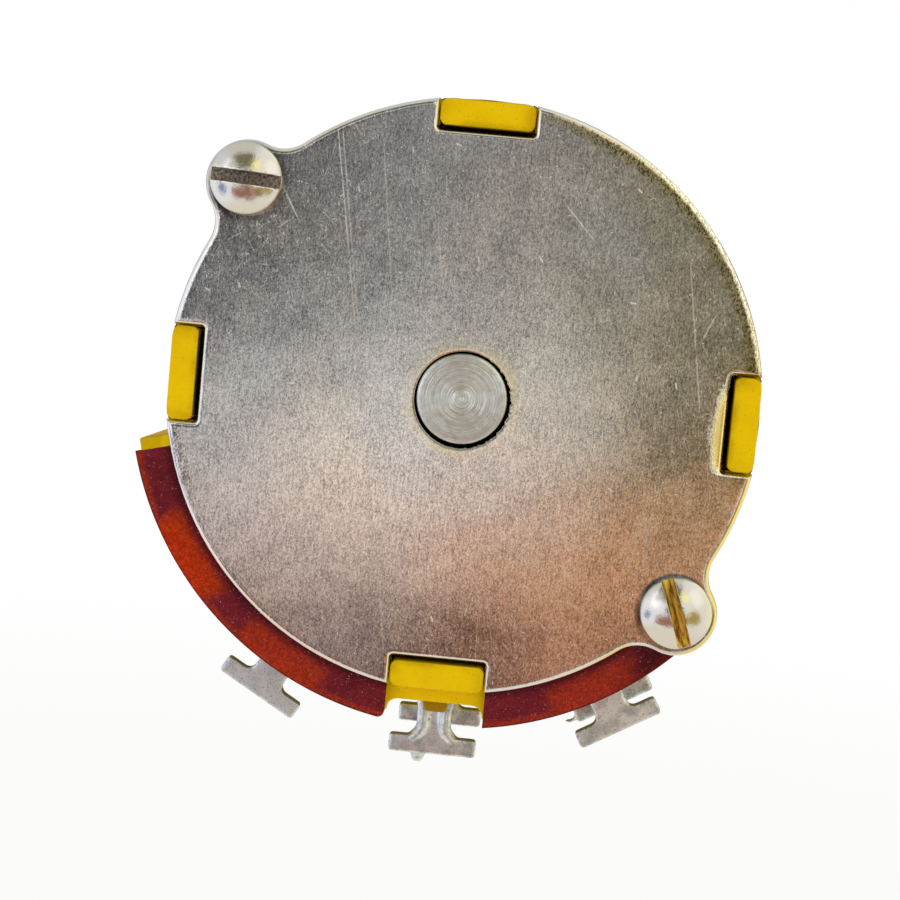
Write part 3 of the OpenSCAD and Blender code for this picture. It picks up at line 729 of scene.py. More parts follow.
def rounded_copy(node, width, segments, angle):
    """A copy of a CAD node's solid with its sharp edges rounded, laid back flat."""
    bm = bmesh.new()
    bm.from_mesh(cad_nodes[node].data)
    bmesh.ops.transform(bm, matrix=stand_up.inverted(), verts=bm.verts)
    bmesh.ops.remove_doubles(bm, verts=bm.verts, dist=weld_distance)
    bmesh.ops.dissolve_limit(bm, angle_limit=math.radians(flat_angle), verts=bm.verts, edges=bm.edges)
    sharp = [e for e in bm.edges if e.is_manifold and e.calc_face_angle() > math.radians(angle)]
    bmesh.ops.bevel(bm, geom=sharp, offset=width, affect="EDGES", segments=segments, profile=0.5, material=-1)
    return bm


ring_mesh = rounded_copy("retaining_ring", ring_round, 2, 40)
piece(ring_mesh, "snap_ring", [blackened_steel], "rotor", "spring_steel", "retaining_ring")

# Housing
# Moulded in one piece from yellow plastic: a thick ring with two screw bosses, four lugs at each end that
# locate the plates, and a block of barrier ribs that the terminals are moulded into. A little of the compound
# has flowed out over the middle terminal.
housing_round = 0.12
pocket_inner = 18.35
lug_inner = 18.99
lug_half = 3.4
flash_size = (2.0, 1.7, 0.5)
flash_middle = (0, -22.3, 15.86)

# Where its painted shade, darkening and dust start and are full, by places right, deep and up on the part.
pocket_deep = (-16.0, -16.4)
lug_face = (-18.7, -19.2)
block_left = (-20.8, -21.3)
block_up = (-6.6, -5.8)
dust_deep = (-16.4, -17.2)
flash_down = (-21.9, -22.1)
flash_half = (1.3, 1.1)
flash_deep = (-16.8, -16.3)


def yellow_moulding():
    """Yellow moulding with a satin skin, flow marks, pits and dust; painted shade in notch gaps, lug edges
    and flash.
    """
    made, shade = new_finish("yellow_moulding")
    place = place_on(shade)
    flow = speckle(shade, place, 2.2, 3.0, 0.55)
    skin = speckle(shade, place, 0.25, 3.0, 0.6)
    pits = speckle(shade, place, 0.16, 1.0)
    colour = tint(shade, rise(shade, flow, 0.35, 0.7), (0.98, 0.655, 0.0), (0.92, 0.60, 0.0))
    colour = tint(shade, 0.4 * rise(shade, pits, 0.64, 0.74), colour, (0.30, 0.17, 0.01))
    right, deep, up = axes_of(shade, place)
    _, _, tilt_up = tilt_of(shade)
    outward = either(shade, abs(right), abs(up))
    beside = shade.maths("MINIMUM", abs(right), abs(up))
    # Painted shade, near black, in the gaps inside the notches beside the lugs.
    pocket_shade = rise(shade, outward, pocket_inner, pocket_inner + 0.07)
    pocket_shade = pocket_shade * rise(shade, outward, lug_inner, lug_inner - 0.09)
    pocket_shade = pocket_shade * rise(shade, beside, lug_half + 0.1, lug_half) * rise(shade, deep, *pocket_deep)
    colour = tint(shade, 0.95 * pocket_shade, colour, (0.012, 0.009, 0.004))
    # Painted shade, mottled, towards the lugs' edges at the rear; the left end of the block is darker too.
    lug_edge = either(shade, rise(shade, beside, 2.2, lug_half), rise(shade, outward, 19.5, lug_inner - 0.04))
    lug_edge_shade = rise(shade, deep, *lug_face) * lug_edge * (0.25 + rise(shade, flow, 0.35, 0.65))
    block_end_darkening = rise(shade, right, *block_left) * rise(shade, up, *block_up)
    colour = tint(shade, 0.45 * either(shade, lug_edge_shade, block_end_darkening), colour, (0.42, 0.25, 0.0))
    dust = rise(shade, tilt_up, 0.3, 0.7) * rise(shade, deep, *dust_deep)
    colour = tint(shade, 0.6 * dust, colour, (0.40, 0.26, 0.0))
    # Painted shade on the flash over the middle terminal.
    flash_shade = rise(shade, up, *flash_down) * rise(shade, abs(right), *flash_half)
    flash_shade = flash_shade * rise(shade, deep, *flash_deep)
    colour = tint(shade, 0.85 * flash_shade, colour, (0.30, 0.17, 0.002))
    surface(shade, {
        "Base Color": colour,
        "Roughness": 0.36 + 0.2 * skin,
        "Specular IOR Level": 0.08,
        "Normal": relief(shade, skin, 0.012),
    })
    return made


housing_mesh = rounded_copy("housing", housing_round, 2, 35)
block(housing_mesh, flash_size, flash_middle, housing_round)
housing = piece(housing_mesh, "housing_moulding", [yellow_moulding()], "case", "yellow_moulding", "housing")
housing.modifiers.new("even_normals", "WEIGHTED_NORMAL")

# Terminals
# Stamped from brass strip, folded double in the block and dipped in solder. On the middle one the solder has
# run into a ridge along each edge of the neck, and a drop hangs from its bar. The others are dull and flat,
# one of them with a thread of solder at its lower bar.
terminal_angles = [240.3, 270, 300.5]
terminal_pulls = [0.4, 0, 0.6]
lower_pulls = [0, 0, 1.05]
terminal_low = 15.04
terminal_thickness = 0.8
terminal_reach = 26.385
terminal_tail = 16.405
lower_leg_low = 12.84
lower_leg_reach = 24.535
lower_leg_shift = 0.3
fold_start = 19.43
neck_half = 1.25
bar_length = 1.35
upper_bar_half = 3.2
lower_bar_half = 3.05
bar_corner = 0.2
neck_fillet = 0.55
strip_round = 0.12
solder_voxel = 0.1
ridge_start = 22.0
ridge_end_gap = 0.8
ridge_beads = 32
bead_radius = 0.5
ridge_aside = 0.8
ridge_sink = 0.2
root_flare = 0.35
root_share = 0.3
bar_flare = 1.0
bar_share = 0.4
bar_sink = 1.5
sink_share = 0.45
cool_left = (2.0, -11.0)
solder_flow = 0.5
solder_flow_steps = 9

# Each terminal's drops of solder: place along and across the terminal, height and radius.
solder_drops = [
    [],
    [(26.5, -1.2, 15.25, 0.36), (26.5, -0.8, 15.25, 0.36),
     (26.8, -1.12, 15.2, 0.34), (26.8, -0.9, 15.2, 0.34)],
    [(25.2, -2.8, 13.3, 0.2), (25.22, -3.03, 13.3, 0.15),
     (25.2, -3.28, 13.3, 0.18), (25.12, -3.5, 13.3, 0.15)],
]


def tee(start, end, bar_half):
    """Outline of one leg along +x: a neck with a cross bar at its end."""
    def outline(inset):
        corner = bar_corner - inset
        bar_start = end - bar_length
        half = arc((end - bar_corner, bar_half - bar_corner), corner, 0, 90, 4)
        half += arc((bar_start + bar_corner, bar_half - bar_corner), corner, 90, 180, 4)
        half += arc((bar_start - neck_fillet, neck_half + neck_fillet), neck_fillet + inset, 360, 270, 6)
        half += [Vector((start + inset, neck_half - inset))]
        return half + [Vector((point.x, -point.y)) for point in reversed(half)]
    return outline


def solder(name, light, dullness, grain_depth, lean):
    """Old solder: grey and cloudy, with a painted cool tint at the left, and brown flux and painted shade
    towards the block.
    """
    made, shade = new_finish(name)
    place = place_on(shade)
    cloud = speckle(shade, place, 0.9, 4.0, 0.6)
    grit = speckle(shade, place, 0.16, 3.0, 0.6)
    right, _, up = axes_of(shade, place)
    tilt_right, _, tilt_up = tilt_of(shade)
    inward = (tilt_right * right + tilt_up * up) / distance(shade, right, up)
    # Brown flux and painted shade on the faces that turn towards the block.
    flux_and_shade = 0.85 * rise(shade, inward, -0.3, -0.7)
    colour = tint(shade, rise(shade, cloud, 0.35, 0.7), light, [0.57 * part for part in light])
    # Painted cool tint of reflected light at the left.
    colour = tint(shade, 0.6 * rise(shade, right, *cool_left), colour, (0.62, 0.70, 0.80))
    colour = tint(shade, 0.75 * rise(shade, grit, 0.56, 0.68), colour, (0.20, 0.18, 0.17))
    surface(shade, {
        "Base Color": tint(shade, flux_and_shade, colour, (0.10, 0.09, 0.08)),
        "Metallic": 1.0 - flux_and_shade,
        "Roughness": dullness + 0.2 * cloud + 0.3 * flux_and_shade,
        "Normal": relief(shade, cloud + 0.4 * grit - lean * up, grain_depth),
    })
    return made


def solder_bead(bm, along, across, height, radius):
    """A drop of solder, which the solder skin melts into what it touches."""
    spot = Matrix.Translation((along, across, height))
    bmesh.ops.create_icosphere(bm, subdivisions=2, radius=radius, matrix=spot)


def solder_ridge(bm, side, first, last):
    """A ridge of solder along one edge of the neck, which flares out at the block and into the bar."""
    for i in range(ridge_beads + 1):
        share = i / ridge_beads
        at_root = max(0, root_share - share) / root_share
        at_bar = max(0, share + bar_share - 1) / bar_share
        across = side * (ridge_aside + root_flare * at_root ** 2 + bar_flare * at_bar ** 2)
        sink = ridge_sink + bar_sink * max(0, share + sink_share - 1) ** 2
        height = terminal_low + terminal_thickness - sink
        solder_bead(bm, first + share * (last - first), across, height, bead_radius)


dull_solder = solder("dull_solder", (0.82, 0.85, 0.87), 0.34, 0.05, 0.0)
bright_solder = solder("bright_solder", (0.80, 0.86, 0.90), 0.22, 0.035, 2.2)
solder_coats = [dull_solder, bright_solder, dull_solder]
ridged_terminal = 1
upper_edge = rolled_edge(terminal_low, terminal_low + terminal_thickness, strip_round, strip_round)
lower_edge = rolled_edge(lower_leg_low, lower_leg_low + terminal_thickness, strip_round, strip_round)
fold_height = terminal_low + terminal_thickness - lower_leg_low
for i, angle in enumerate(terminal_angles):
    strip_mesh = bmesh.new()
    tip = terminal_reach + terminal_pulls[i]
    sheet(strip_mesh, [(tee(fold_start, lower_leg_reach + lower_pulls[i], lower_bar_half), lower_edge)])
    bmesh.ops.translate(strip_mesh, vec=(0, lower_leg_shift, 0), verts=strip_mesh.verts)
    sheet(strip_mesh, [(tee(terminal_tail, tip, upper_bar_half), upper_edge)])
    fold_middle = (fold_start + terminal_thickness / 2, 0, lower_leg_low + fold_height / 2)
    block(strip_mesh, (terminal_thickness, 2 * neck_half, fold_height), fold_middle)
    if i == ridged_terminal:
        for side in (1, -1):
            solder_ridge(strip_mesh, side, ridge_start, tip - ridge_end_gap)
    for along, across, height, radius in solder_drops[i]:
        solder_bead(strip_mesh, along, across, height, radius)
    turn = Matrix.Rotation(math.radians(angle), 4, "Z")
    bmesh.ops.transform(strip_mesh, matrix=turn, verts=strip_mesh.verts)
    node = f"terminal_{i + 1}"
    lug = piece(strip_mesh, f"solder_{node}", [solder_coats[i]], "case", "tinned_brass", node)
    coat = lug.modifiers.new("solder_skin", "REMESH")
    coat.mode = "VOXEL"
    coat.voxel_size = solder_voxel * MM
    coat.use_smooth_shade = True
    flow = lug.modifiers.new("solder_flow", "SMOOTH")
    flow.factor = solder_flow
    flow.iterations = solder_flow_steps

# Terminal boards
# Two strips stamped from red vulcanised fibre. They lie on the ribs under the rear plate and cover the
# terminals, with a space between them for the lug over the middle one.
board_low = 18.04
board_high = 18.84
board_outer = 23.685
board_inner = 19.435
board_start_angle = 194.55
board_end_angle = ear_angles[1]
board_end_radius = 2.2
board_screw_hole = 1.57
board_slot_half = 3.55
board_corner = 0.45
board_round = 0.07
bay_half = 3.45
bay_band = (20.9, 22.2)
glow_band = (23.0, 23.5)
plate_shade = (22.0, 20.9)
edge_shade = (23.52, 23.64)
end_shade = (12.0, 15.5)

# The bays behind the boards: angle round the shaft, and how strong the painted glow and the translucency are
# over each.
open_bays = [(215.4, 1.0), (240.3, 0.66), (299.7, 0.55)]


def slot_point(side, radius, inset):
    """Where the space between the boards meets a circle round the shaft."""
    x = board_slot_half + inset
    return Vector((side * x, -math.sqrt(radius ** 2 - x ** 2)))


def band_angle(point):
    """The point's angle about the origin, from 0 to 360 degrees."""
    return math.degrees(math.atan2(point.y, point.x)) % 360


def long_board(inset):
    """Outline of the long board, square at its free end, with a round corner at the space."""
    outer = board_outer - inset
    inner = board_inner + inset
    start = [board_start_angle + math.degrees(math.asin(inset / radius)) for radius in (outer, inner)]
    corner_x = -board_slot_half - board_corner
    corner_y = -math.sqrt((board_outer - board_corner) ** 2 - corner_x ** 2)
    corner_turn = band_angle(Vector((corner_x, corner_y)))
    rim = arc((0, 0), outer, start[0], corner_turn, 48)
    corner = arc((corner_x, corner_y), board_corner - inset, corner_turn, 360, 6)
    inner_end = band_angle(slot_point(-1, inner, inset))
    return rim + corner[1:] + arc((0, 0), inner, inner_end, start[1], 48)


def short_board(inset):
    """Outline of the short board, with a round end about the lower screw."""
    outer = board_outer - inset
    inner = board_inner + inset
    start = [band_angle(slot_point(1, radius, inset)) for radius in (outer, inner)]
    centre = screw_circle * direction(board_end_angle)
    end_radius = board_end_radius - inset
    meeting = (screw_circle ** 2 + inner ** 2 - end_radius ** 2) / (2 * screw_circle * inner)
    inner_end = board_end_angle + math.degrees(math.acos(meeting))
    sweep = (band_angle(inner * direction(inner_end) - centre) - board_end_angle) % 360
    rim = arc((0, 0), outer, start[0], board_end_angle - math.degrees(inset / outer), 36)
    end = arc(centre, end_radius, board_end_angle, board_end_angle + sweep, 12)
    return rim + end + arc((0, 0), inner, inner_end, start[1], 36)[1:]


def red_fibre():
    """Vulcanised fibre: dark red with light flecks. Over open bays and along its rim, a painted orange glow
    and some real translucency stand for light coming through from behind; painted shadows darken it
    elsewhere.
    """
    made, shade = new_finish("red_fibre")
    place = place_on(shade)
    right, _, up = axes_of(shade, place)
    cloud = speckle(shade, place, 1.4, 4.0, 0.6)
    fleck = speckle(shade, place, 0.1, 2.0)
    fray = speckle(shade, place, 0.8, 3.0, 0.6) - 0.5
    bays = 0.0
    for angle, openness in open_bays:
        way = direction(angle)
        along = right * way.x + up * way.y + 0.5 * fray
        beside = abs(right * -way.y + up * way.x + 1.1 * fray)
        across = openness * rise(shade, beside, bay_half + 0.5, bay_half - 0.7)
        bays = bays + across * rise(shade, along, *bay_band)
    radius = distance(shade, right, up)
    rim = rise(shade, radius + 0.4 * fray, *glow_band)
    painted_glow_and_translucency = either(shade, bays, 0.5 * rim)
    grain = rise(shade, speckle(shade, place, 0.22, 3.0, 0.7), 0.35, 0.65)
    colour = tint(shade, rise(shade, cloud, 0.3, 0.75), (0.25, 0.02, 0.039), (0.15, 0.012, 0.026))
    # Painted orange glow over the open bays and along the outer rim, for light coming through from behind.
    colour = tint(shade, 0.75 * painted_glow_and_translucency, colour, (0.96, 0.09, 0.003))
    colour = tint(shade, 0.55 * grain, colour, (0.09, 0.007, 0.008))
    shadow = either(shade, rise(shade, radius, *plate_shade), rise(shade, radius, *edge_shade))
    shadow = either(shade, shadow, rise(shade, right + 0.8 * fray, *end_shade))
    colour = tint(shade, 0.75 * shadow, colour, (0.03, 0.003, 0.007))
    colour = tint(shade, 0.8 * rise(shade, fleck, 0.67, 0.74), colour, (0.66, 0.36, 0.28))
    skin = shade.node("BsdfPrincipled", {}, {
        "Base Color": colour,
        "Roughness": 0.4 + 0.15 * cloud,
        "Specular IOR Level": 0.06,
        "Normal": relief(shade, cloud + 0.5 * fleck, 0.02),
    })
    glow = shade.node("BsdfTranslucent", {}, {"Color": (0.9, 0.10, 0.01, 1)})
    mixed = shade.node("MixShader", {}, {0: 0.4 * painted_glow_and_translucency, 1: skin, 2: glow})
    shade.node("OutputMaterial", {}, {"Surface": mixed})
    return made


fibre = red_fibre()
board_edge = rolled_edge(board_low, board_high, board_round, board_round, 2)
board_hole = (round_hole(screw_circle * direction(board_end_angle), board_screw_hole), board_edge)
for name, edges in (("long", [(long_board, board_edge)]), ("short", [(short_board, board_edge), board_hole])):
    board_mesh = bmesh.new()
    sheet(board_mesh, edges)
    piece(board_mesh, f"fibre_board_{name}", [fibre], "case", "red_fibre", f"terminal_board_{name}")

# Rear plate
# Stamped from thin aluminium sheet, which leaves its rear edge rolled over. It closes the case under the
# screw heads, and years of handling have scratched it all over.
rear_thickness = 1.0
rear_roll = 0.42
shaft_hole_radius = 3.415
hole_drift = 0.12
hole_drift_angle = 307
hole_steps = 240
burr_angle = 345
burr_depth = 0.07
burr_ripple = 0.4
burr_waves = (23, 41, 67)
burr_shift = 40
screw_hole_radius = 1.57
head_radius = 2.53
hole_round = 0.05

# Long marks on its face: start, end and strength.
long_marks = [
    ((-10.35, 18.1), (-8.75, 9.1), 0.55),
    ((-8.75, 9.1), (-6.85, -1.9), 0.5),
    ((-10.0, 18.0), (-8.5, 9.0), 0.45),
    ((-8.5, 9.0), (-7.2, 1.5), 0.4),
    ((-7.1, 17.5), (-5.5, 6.4), 0.28),
    ((-2.8, 12.1), (-1.5, 4.4), 0.35),
    ((14.9, 11.2), (16.7, 0.3), 0.45),
    ((5.9, 14.2), (8.5, 11.5), 0.75),
    ((2.4, 6.4), (4.8, 4.8), 0.4),
    ((17.1, 7.5), (16.1, 5.1), 0.5),
    ((13.6, -7.3), (14.1, -10.6), 0.4),
    ((-5.3, -9.5), (-3.9, -18.4), 0.3),
    ((-13.9, 13.8), (-12.3, 11.0), 0.6),
]


def torn_hole(inset):
    """The hole round the shaft, punched a little off the axis, with a torn burr where it runs closest."""
    points = []
    for i in range(hole_steps):
        turn = 360 * i / hole_steps
        torn = max(0, math.cos(math.radians(turn - burr_angle))) ** 0.5
        ripple = sum(math.sin(math.radians(waves * (turn + burr_shift))) for waves in burr_waves)
        reach = shaft_hole_radius + inset - burr_depth * torn * (1 + burr_ripple * ripple)
        points.append(hole_drift * direction(hole_drift_angle) + reach * direction(turn))
    return points


rear_low = case_depth - rear_thickness
rear_rim = rolled_edge(rear_low, case_depth, burr_round, rear_roll, 6)
rear_hole = rolled_edge(rear_low, case_depth, burr_round, hole_round)
rear_mesh = bmesh.new()
screw_holes = [(round_hole(screw, screw_hole_radius), rear_hole) for screw in screw_places]
sheet(rear_mesh, [(plate_outline, rear_rim), (torn_hole, rear_hole)] + screw_holes)
rear_metal = sheet_metal("rear_plate_metal", long_marks, head_radius, 1.0)
rear_plate = piece(rear_mesh, "rear_plate_sheet", [rear_metal], "case", "plate_metal", "rear_plate")
rear_plate.modifiers.new("even_normals", "WEIGHTED_NORMAL").keep_sharp = True

# Case screws
# Two long steel screws with slotted round heads, bright plated, that run through the ears and bosses into
# the front plate and clamp the case together. Dirt fills one slot, and the other has turned yellow brown.
screw_radius = 1.42
tip_chamfer = 0.24
head_lift = 0.22
head_height = 2.1
head_wall = 1.1
shoulder_round = 0.35
slot_width = 0.88
slot_depth = 1.2
slot_round = 0.05
slot_angles = [177, 110]
dome_steps = 14
shoulder_steps = 6
foot_low = 0.6
foot_high = 1.35


def bright_plate():
    """Bright plating with a light haze, a few pits and painted shade at the foot of the head."""
    made, shade = new_finish("bright_plate")
    place = place_on(shade)
    haze = speckle(shade, place, 0.8, 4.0, 0.6)
    pits = speckle(shade, place, 0.12, 2.0)
    _, deep, _ = axes_of(shade, place)
    # Painted shade at the foot of the head, where it meets the plate.
    foot_shade = rise(shade, deep, -case_depth - foot_high, -case_depth - foot_low)
    colour = tint(shade, 0.5 * rise(shade, pits, 0.66, 0.78), (0.72, 0.71, 0.68), (0.40, 0.36, 0.29))
    surface(shade, {
        "Base Color": tint(shade, 0.6 * foot_shade, colour, (0.20, 0.15, 0.06)),
        "Metallic": 1.0,
        "Roughness": 0.12 + 0.12 * haze,
        "Normal": relief(shade, haze + 0.2 * pits, 0.03),
    })
    return made


def slot_metal(name, light, dark, metallic, stretch, slot_angle):
    """The inside of a slot: bare or dirty metal, rough and gritty, streaked along the slot."""
    made, shade = new_finish(name)
    right, _, up = axes_of(shade, place_on(shade))
    way = direction(slot_angle)
    along = right * way.x + up * way.y
    across = up * way.x - right * way.y
    streak = shade.node("CombineXYZ", {}, {0: along * stretch[0], 1: across * stretch[1], 2: 0.0})
    grit = speckle(shade, streak, 1.0, 5.0, 0.7)
    surface(shade, {
        "Base Color": tint(shade, rise(shade, grit, 0.38, 0.6), dark, light),
        "Metallic": metallic,
        "Roughness": 0.4 + 0.3 * grit,
        "Normal": relief(shade, grit, 0.05),
    })
    return made


def cut_slot(bm):
    """Cuts a slot across the head, along y, with its edges rounded and its inside in the second finish."""
    floor = case_depth + head_height - slot_depth
    half = slot_width / 2
    for point, normal in (((half, 0, 0), (1, 0, 0)), ((-half, 0, 0), (1, 0, 0)), ((0, 0, floor), (0, 0, 1))):
        everything = bm.verts[:] + bm.edges[:] + bm.faces[:]
        bmesh.ops.bisect_plane(bm, geom=everything, dist=cut_tolerance, plane_co=point, plane_no=normal)
    middles = {face: face.calc_center_median() for face in bm.faces}
    cut = [face for face, spot in middles.items() if abs(spot.x) < half and spot.z > floor]
    bmesh.ops.delete(bm, geom=cut, context="FACES")
    floor_lines = []
    for x in (half, -half):
        brink = [e for e in bm.edges if e.is_boundary]
        brink = [e for e in brink if all(abs(v.co.x - x) < level_tolerance for v in e.verts)]
        corners = [v for e in brink for v in e.verts if abs(v.co.z - floor) < level_tolerance]
        line = bm.edges.new(corners)
        floor_lines.append(line)
        wall = bmesh.ops.edgeloop_fill(bm, edges=brink + [line])["faces"]
        for face in wall:
            face.material_index = 1
    ends = [e for e in bm.edges if e.is_boundary and e not in floor_lines]
    for face in bmesh.ops.edgeloop_fill(bm, edges=ends + floor_lines)["faces"]:
        face.material_index = 1
    brinks = [e for e in bm.edges if len({face.material_index for face in e.link_faces}) == 2]
    rounded = bmesh.ops.bevel(bm, geom=brinks, offset=slot_round, affect="EDGES", segments=2, profile=0.5,
                              material=-1)
    for face in rounded["faces"]:
        face.material_index = 0


def slotted_screw(bm, slot_angle):
    """A screw on the axis: a slotted head, and a shank that doesn't quite line up with it."""
    dome_height = head_height - head_wall
    dome_radius = (head_radius ** 2 + dome_height ** 2) / (2 * dome_height)
    shoulder_reach = head_radius - shoulder_round
    half_turn = math.asin(shoulder_reach / (dome_radius - shoulder_round))
    centre = case_depth + head_height - dome_radius
    turns = [half_turn * i / dome_steps for i in range(dome_steps)]
    dome = [(dome_radius * math.sin(turn), centre + dome_radius * math.cos(turn)) for turn in turns]
    shoulder_centre = centre + (dome_radius - shoulder_round) * math.cos(half_turn)
    turns = [half_turn + (math.pi / 2 - half_turn) * i / shoulder_steps for i in range(shoulder_steps + 1)]
    shoulder = [
        (shoulder_reach + shoulder_round * math.sin(turn), shoulder_centre + shoulder_round * math.cos(turn))
        for turn in turns
    ]
    spun(bm, dome + shoulder + [
        (head_radius, case_depth),
        (screw_radius, case_depth),
        (screw_radius, tip_chamfer),
        (screw_radius - tip_chamfer, 0),
        (0, 0),
    ])
    bmesh.ops.remove_doubles(bm, verts=bm.verts, dist=weld_distance)
    cut_slot(bm)
    bmesh.ops.rotate(bm, cent=(0, 0, 0), matrix=Matrix.Rotation(math.radians(slot_angle - 90), 3, "Z"),
                     verts=bm.verts)
    head = [vert for vert in bm.verts if vert.co.z > case_depth - burr_round]
    bmesh.ops.translate(bm, vec=(0, head_lift, 0), verts=head)


plated = bright_plate()
slot_finishes = [
    slot_metal("slot_dirt", (0.38, 0.32, 0.27), (0.07, 0.055, 0.05), 0.3, (5, 5), slot_angles[0]),
    slot_metal("slot_brass", (0.95, 0.70, 0.13), (0.24, 0.10, 0.02), 1.0, (0.5, 2.6), slot_angles[1]),
]
for i, name in enumerate(("upper", "lower")):
    screw_mesh = bmesh.new()
    slotted_screw(screw_mesh, slot_angles[i])
    bmesh.ops.translate(screw_mesh, vec=screw_places[i].to_3d(), verts=screw_mesh.verts)
    piece(screw_mesh, f"case_screw_{name}", [plated, slot_finishes[i]], "case", "plated_steel", "case_screws")

# Studio
# A pale floor well below the part, and a bright room round it. The side that the rear plate faces is dark
# above and brown below, as a room is behind a camera, and the side beyond the shaft's front end is grey.
floor_drop = 0.09
floor_radius = 1.2
floor_steps = 64
floor_fade = (0.15, 0.5)
side_blur = 0.12
end_blur = 0.08

floor_mesh = bmesh.new()
bmesh.ops.create_circle(floor_mesh, cap_ends=True, segments=floor_steps, radius=floor_radius)
bmesh.ops.translate(floor_mesh, vec=(0, 0, -floor_drop), verts=floor_mesh.verts)
floor_data = bpy.data.meshes.new("studio_floor")
floor_mesh.to_mesh(floor_data)
floor_mesh.free()
floor = bpy.data.objects.new("studio_floor", floor_data)
bpy.context.scene.collection.objects.link(floor)


def room_light(shade, way):
    """Colour of the room in a direction: pale at the sides, grey beyond the part, mixed behind the camera."""
    right, back, up = axes_of(shade, way)
    facing = shade.maths("MAXIMUM", back * -1.0, 0.3)
    across = right / facing
    rising = up / facing

    def card(azimuth, elevation, inner, outer):
        """Soft round patch, by its angles to the right and up from the rear plate's normal."""
        flat = math.cos(math.radians(elevation))
        aim = (flat * math.sin(math.radians(azimuth)), -flat * math.cos(math.radians(azimuth)),
               math.sin(math.radians(elevation)))
        closeness = right * aim[0] + back * aim[1] + up * aim[2]
        return rise(shade, closeness, math.cos(math.radians(outer)), math.cos(math.radians(inner)))

    def patch(left, right_end, low, high):
        """Soft four-sided patch, by how far it reaches across and up from the rear plate's normal."""
        wide = rise(shade, across, left - side_blur, left + side_blur)
        wide = wide * rise(shade, across, right_end + side_blur, right_end - side_blur)
        tall = rise(shade, rising, low - end_blur, low + end_blur)
        return wide * tall * rise(shade, rising, high + end_blur, high - end_blur)

    grazing = rise(shade, back, -0.3, -0.05)
    colour = tint(shade, rise(shade, right, -0.3, 0.6), (1.05, 1.05, 1.07), (1.0, 0.95, 0.85))
    beyond = tint(shade, rise(shade, up, -0.35, 0.45), (0.78, 0.76, 0.73), (0.36, 0.365, 0.38))
    colour = tint(shade, rise(shade, back, 0.2, 0.6), colour, beyond)
    colour = tint(shade, rise(shade, right, 0.84, 0.97) * grazing, colour, (1.25, 1.12, 0.55))
    yellow_corner = rise(shade, right, 0.3, 0.6) * rise(shade, up, 0.35, 0.6) * grazing
    colour = tint(shade, yellow_corner, colour, (1.3, 1.24, 0.85))
    colour = tint(shade, rise(shade, up, -0.45, -0.75), colour, (0.93, 0.86, 0.72))
    shelf = tint(shade, rise(shade, up, 0.55, 0.8), (0.80, 0.80, 0.80), (0.72, 0.70, 0.62))
    colour = tint(shade, rise(shade, up, 0.15, 0.4) * rise(shade, right, 0.35, 0.05), colour, shelf)
    colour = tint(shade, patch(-1.1, 0.22, 0.44, 1.6), colour, (0.20, 0.18, 0.10))
    colour = tint(shade, card(19, 31, 3, 15), colour, (1.3, 1.18, 0.5))
    colour = tint(shade, patch(-0.7, 0.2, -0.74, -0.3), colour, (0.38, 0.165, 0.10))
    colour = tint(shade, patch(0.2, 0.6, -0.62, -0.24), colour, (0.30, 0.18, 0.06))
    colour = tint(shade, card(43, -12, 7, 19), colour, (0.48, 0.34, 0.07))
    ceiling = tint(shade, rise(shade, across, -0.14, -0.05), (0.13, 0.13, 0.135), (0.38, 0.365, 0.345))
    ceiling = tint(shade, rise(shade, across, 0.0, 0.06), ceiling, (0.32, 0.285, 0.19))
    wall = tint(shade, rise(shade, across, -0.19, -0.12), (0.68, 0.67, 0.65), (1.02, 0.98, 0.89))
    wall = tint(shade, rise(shade, across, 0.015, 0.07), wall, (0.16, 0.13, 0.035))
    table = tint(shade, rise(shade, across, -0.16, -0.09), (0.74, 0.61, 0.56), (1.12, 0.88, 0.76))
    table = tint(shade, rise(shade, across, -0.08, -0.02), table, (1.0, 0.56, 0.37))
    table = tint(shade, rise(shade, across, -0.01, 0.045), table, (0.82, 0.42, 0.20))
    edge = tint(shade, rise(shade, across, -0.11, -0.03), (0.37, 0.26, 0.22), (0.12, 0.055, 0.038))
    edge = tint(shade, rise(shade, across, 0.0, 0.035), edge, (0.56, 0.25, 0.14))
    behind = tint(shade, rise(shade, rising - 0.15 * across, 0.005, -0.05), ceiling, wall)
    behind = tint(shade, rise(shade, rising, -0.08, -0.12), behind, table)
    behind = tint(shade, rise(shade, rising, -0.156, -0.182), behind, edge)
    colour = tint(shade, card(-2, -2, 15, 22), colour, behind)
    return tint(shade, card(-59, -15, 5, 11), colour, (0.17, 0.24, 0.50))


floor_white, shade = new_finish("floor_white")
spot = shade.node("TexCoord", output="Object")
way = shade.node("VectorMath", {"operation": "NORMALIZE"}, {0: spot})
mirrored = shade.node("Emission", {}, {"Color": room_light(shade, way), "Strength": 1.0})
matt = shade.node("BsdfDiffuse", {}, {"Color": (0.92, 0.92, 0.92, 1)})
white = shade.node("Emission", {}, {"Color": (1, 1, 1, 1), "Strength": 1.0})
seen = shade.node("LightPath", output="Is Camera Ray")
away = shade.node("VectorMath", {"operation": "LENGTH"}, {0: spot}, "Value")
share = (0.85 + 0.15 * rise(shade, away, *floor_fade)) * seen
pale = shade.node("MixShader", {}, {0: share, 1: matt, 2: white})
pale = shade.node("MixShader", {}, {0: seen.out("Is Glossy Ray"), 1: pale, 2: mirrored})
shade.node("OutputMaterial", {}, {"Surface": pale})
floor_data.materials.append(floor_white)

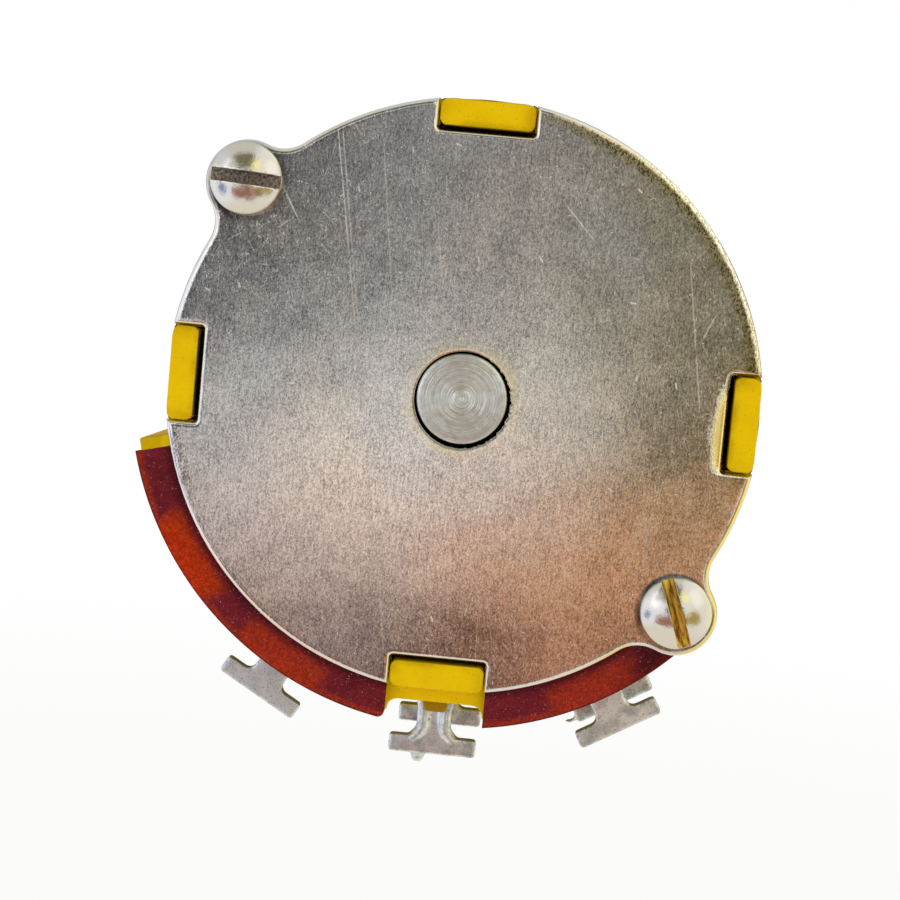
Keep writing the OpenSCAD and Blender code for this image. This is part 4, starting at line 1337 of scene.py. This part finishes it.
world = bpy.data.worlds.new("studio_room")
bpy.context.scene.world = world
world.use_nodes = True
world.node_tree.nodes.clear()
room = Shade(world.node_tree)
way = room.node("TexCoord", output="Generated")
lit = room.node("Background", {}, {"Color": room_light(room, way), "Strength": 1.0})
white = room.node("Background", {}, {"Color": (1, 1, 1, 1), "Strength": 1.0})
seen = room.node("LightPath", output="Is Camera Ray")
room.node("OutputWorld", {}, {"Surface": room.node("MixShader", {}, {0: seen, 1: lit, 2: white})})

lamp_distance = 0.5
lamp_stretch = 1.2
for name, way, size, power, colour in (
    ("window_left", (-0.65, -0.68, 0.33), 0.27, 0.10, (1, 1, 1)),
    ("lamp_right", (0.70, -0.55, 0.45), 0.27, 0.05, (1, 0.97, 0.90)),
):
    lamp = bpy.data.lights.new(name, "AREA")
    lamp.shape = "ELLIPSE"
    lamp.size = size
    lamp.size_y = size * lamp_stretch
    lamp.energy = power
    lamp.color = colour
    holder = bpy.data.objects.new(name, lamp)
    bpy.context.scene.collection.objects.link(holder)
    holder.location = lamp_distance * Vector(way).normalized()
    holder.rotation_mode = "QUATERNION"
    holder.rotation_quaternion = (-holder.location).to_track_quat("-Z", "Y")

# Camera
# It stands a little above and to the right of the shaft's axis and looks at the rear plate, from the distance
# and with the turn that the plate's notches, rim and ears show in the picture.
lens = 80
sensor_width = 36
view_tilt = 4.288
view_turn = -2.553
view_roll = -5.256
view_shift = (0.83492, 3.58392, 0)
view_distance = 140.384

camera_data = bpy.data.cameras.new("camera")
camera_data.lens = lens
camera_data.sensor_width = sensor_width
camera_data.clip_start = 0.01
camera = bpy.data.objects.new("camera", camera_data)
bpy.context.scene.collection.objects.link(camera)
plate_pose = stand_up @ Matrix.Translation((0, 0, case_depth))
view_turns = ((view_tilt, "X"), (view_turn, "Y"), (view_roll, "Z"))
turns = [Matrix.Rotation(math.radians(angle), 4, axis) for angle, axis in view_turns]
seen_pose = Matrix.Translation(view_shift) @ turns[0] @ turns[1] @ turns[2]
pose = plate_pose @ seen_pose.inverted() @ Matrix.Translation((0, 0, view_distance))
camera.matrix_world = Matrix.LocRotScale(pose.to_translation(), pose.to_quaternion(), None)
bpy.context.scene.camera = camera
bpy.context.scene.view_settings.view_transform = "Standard"
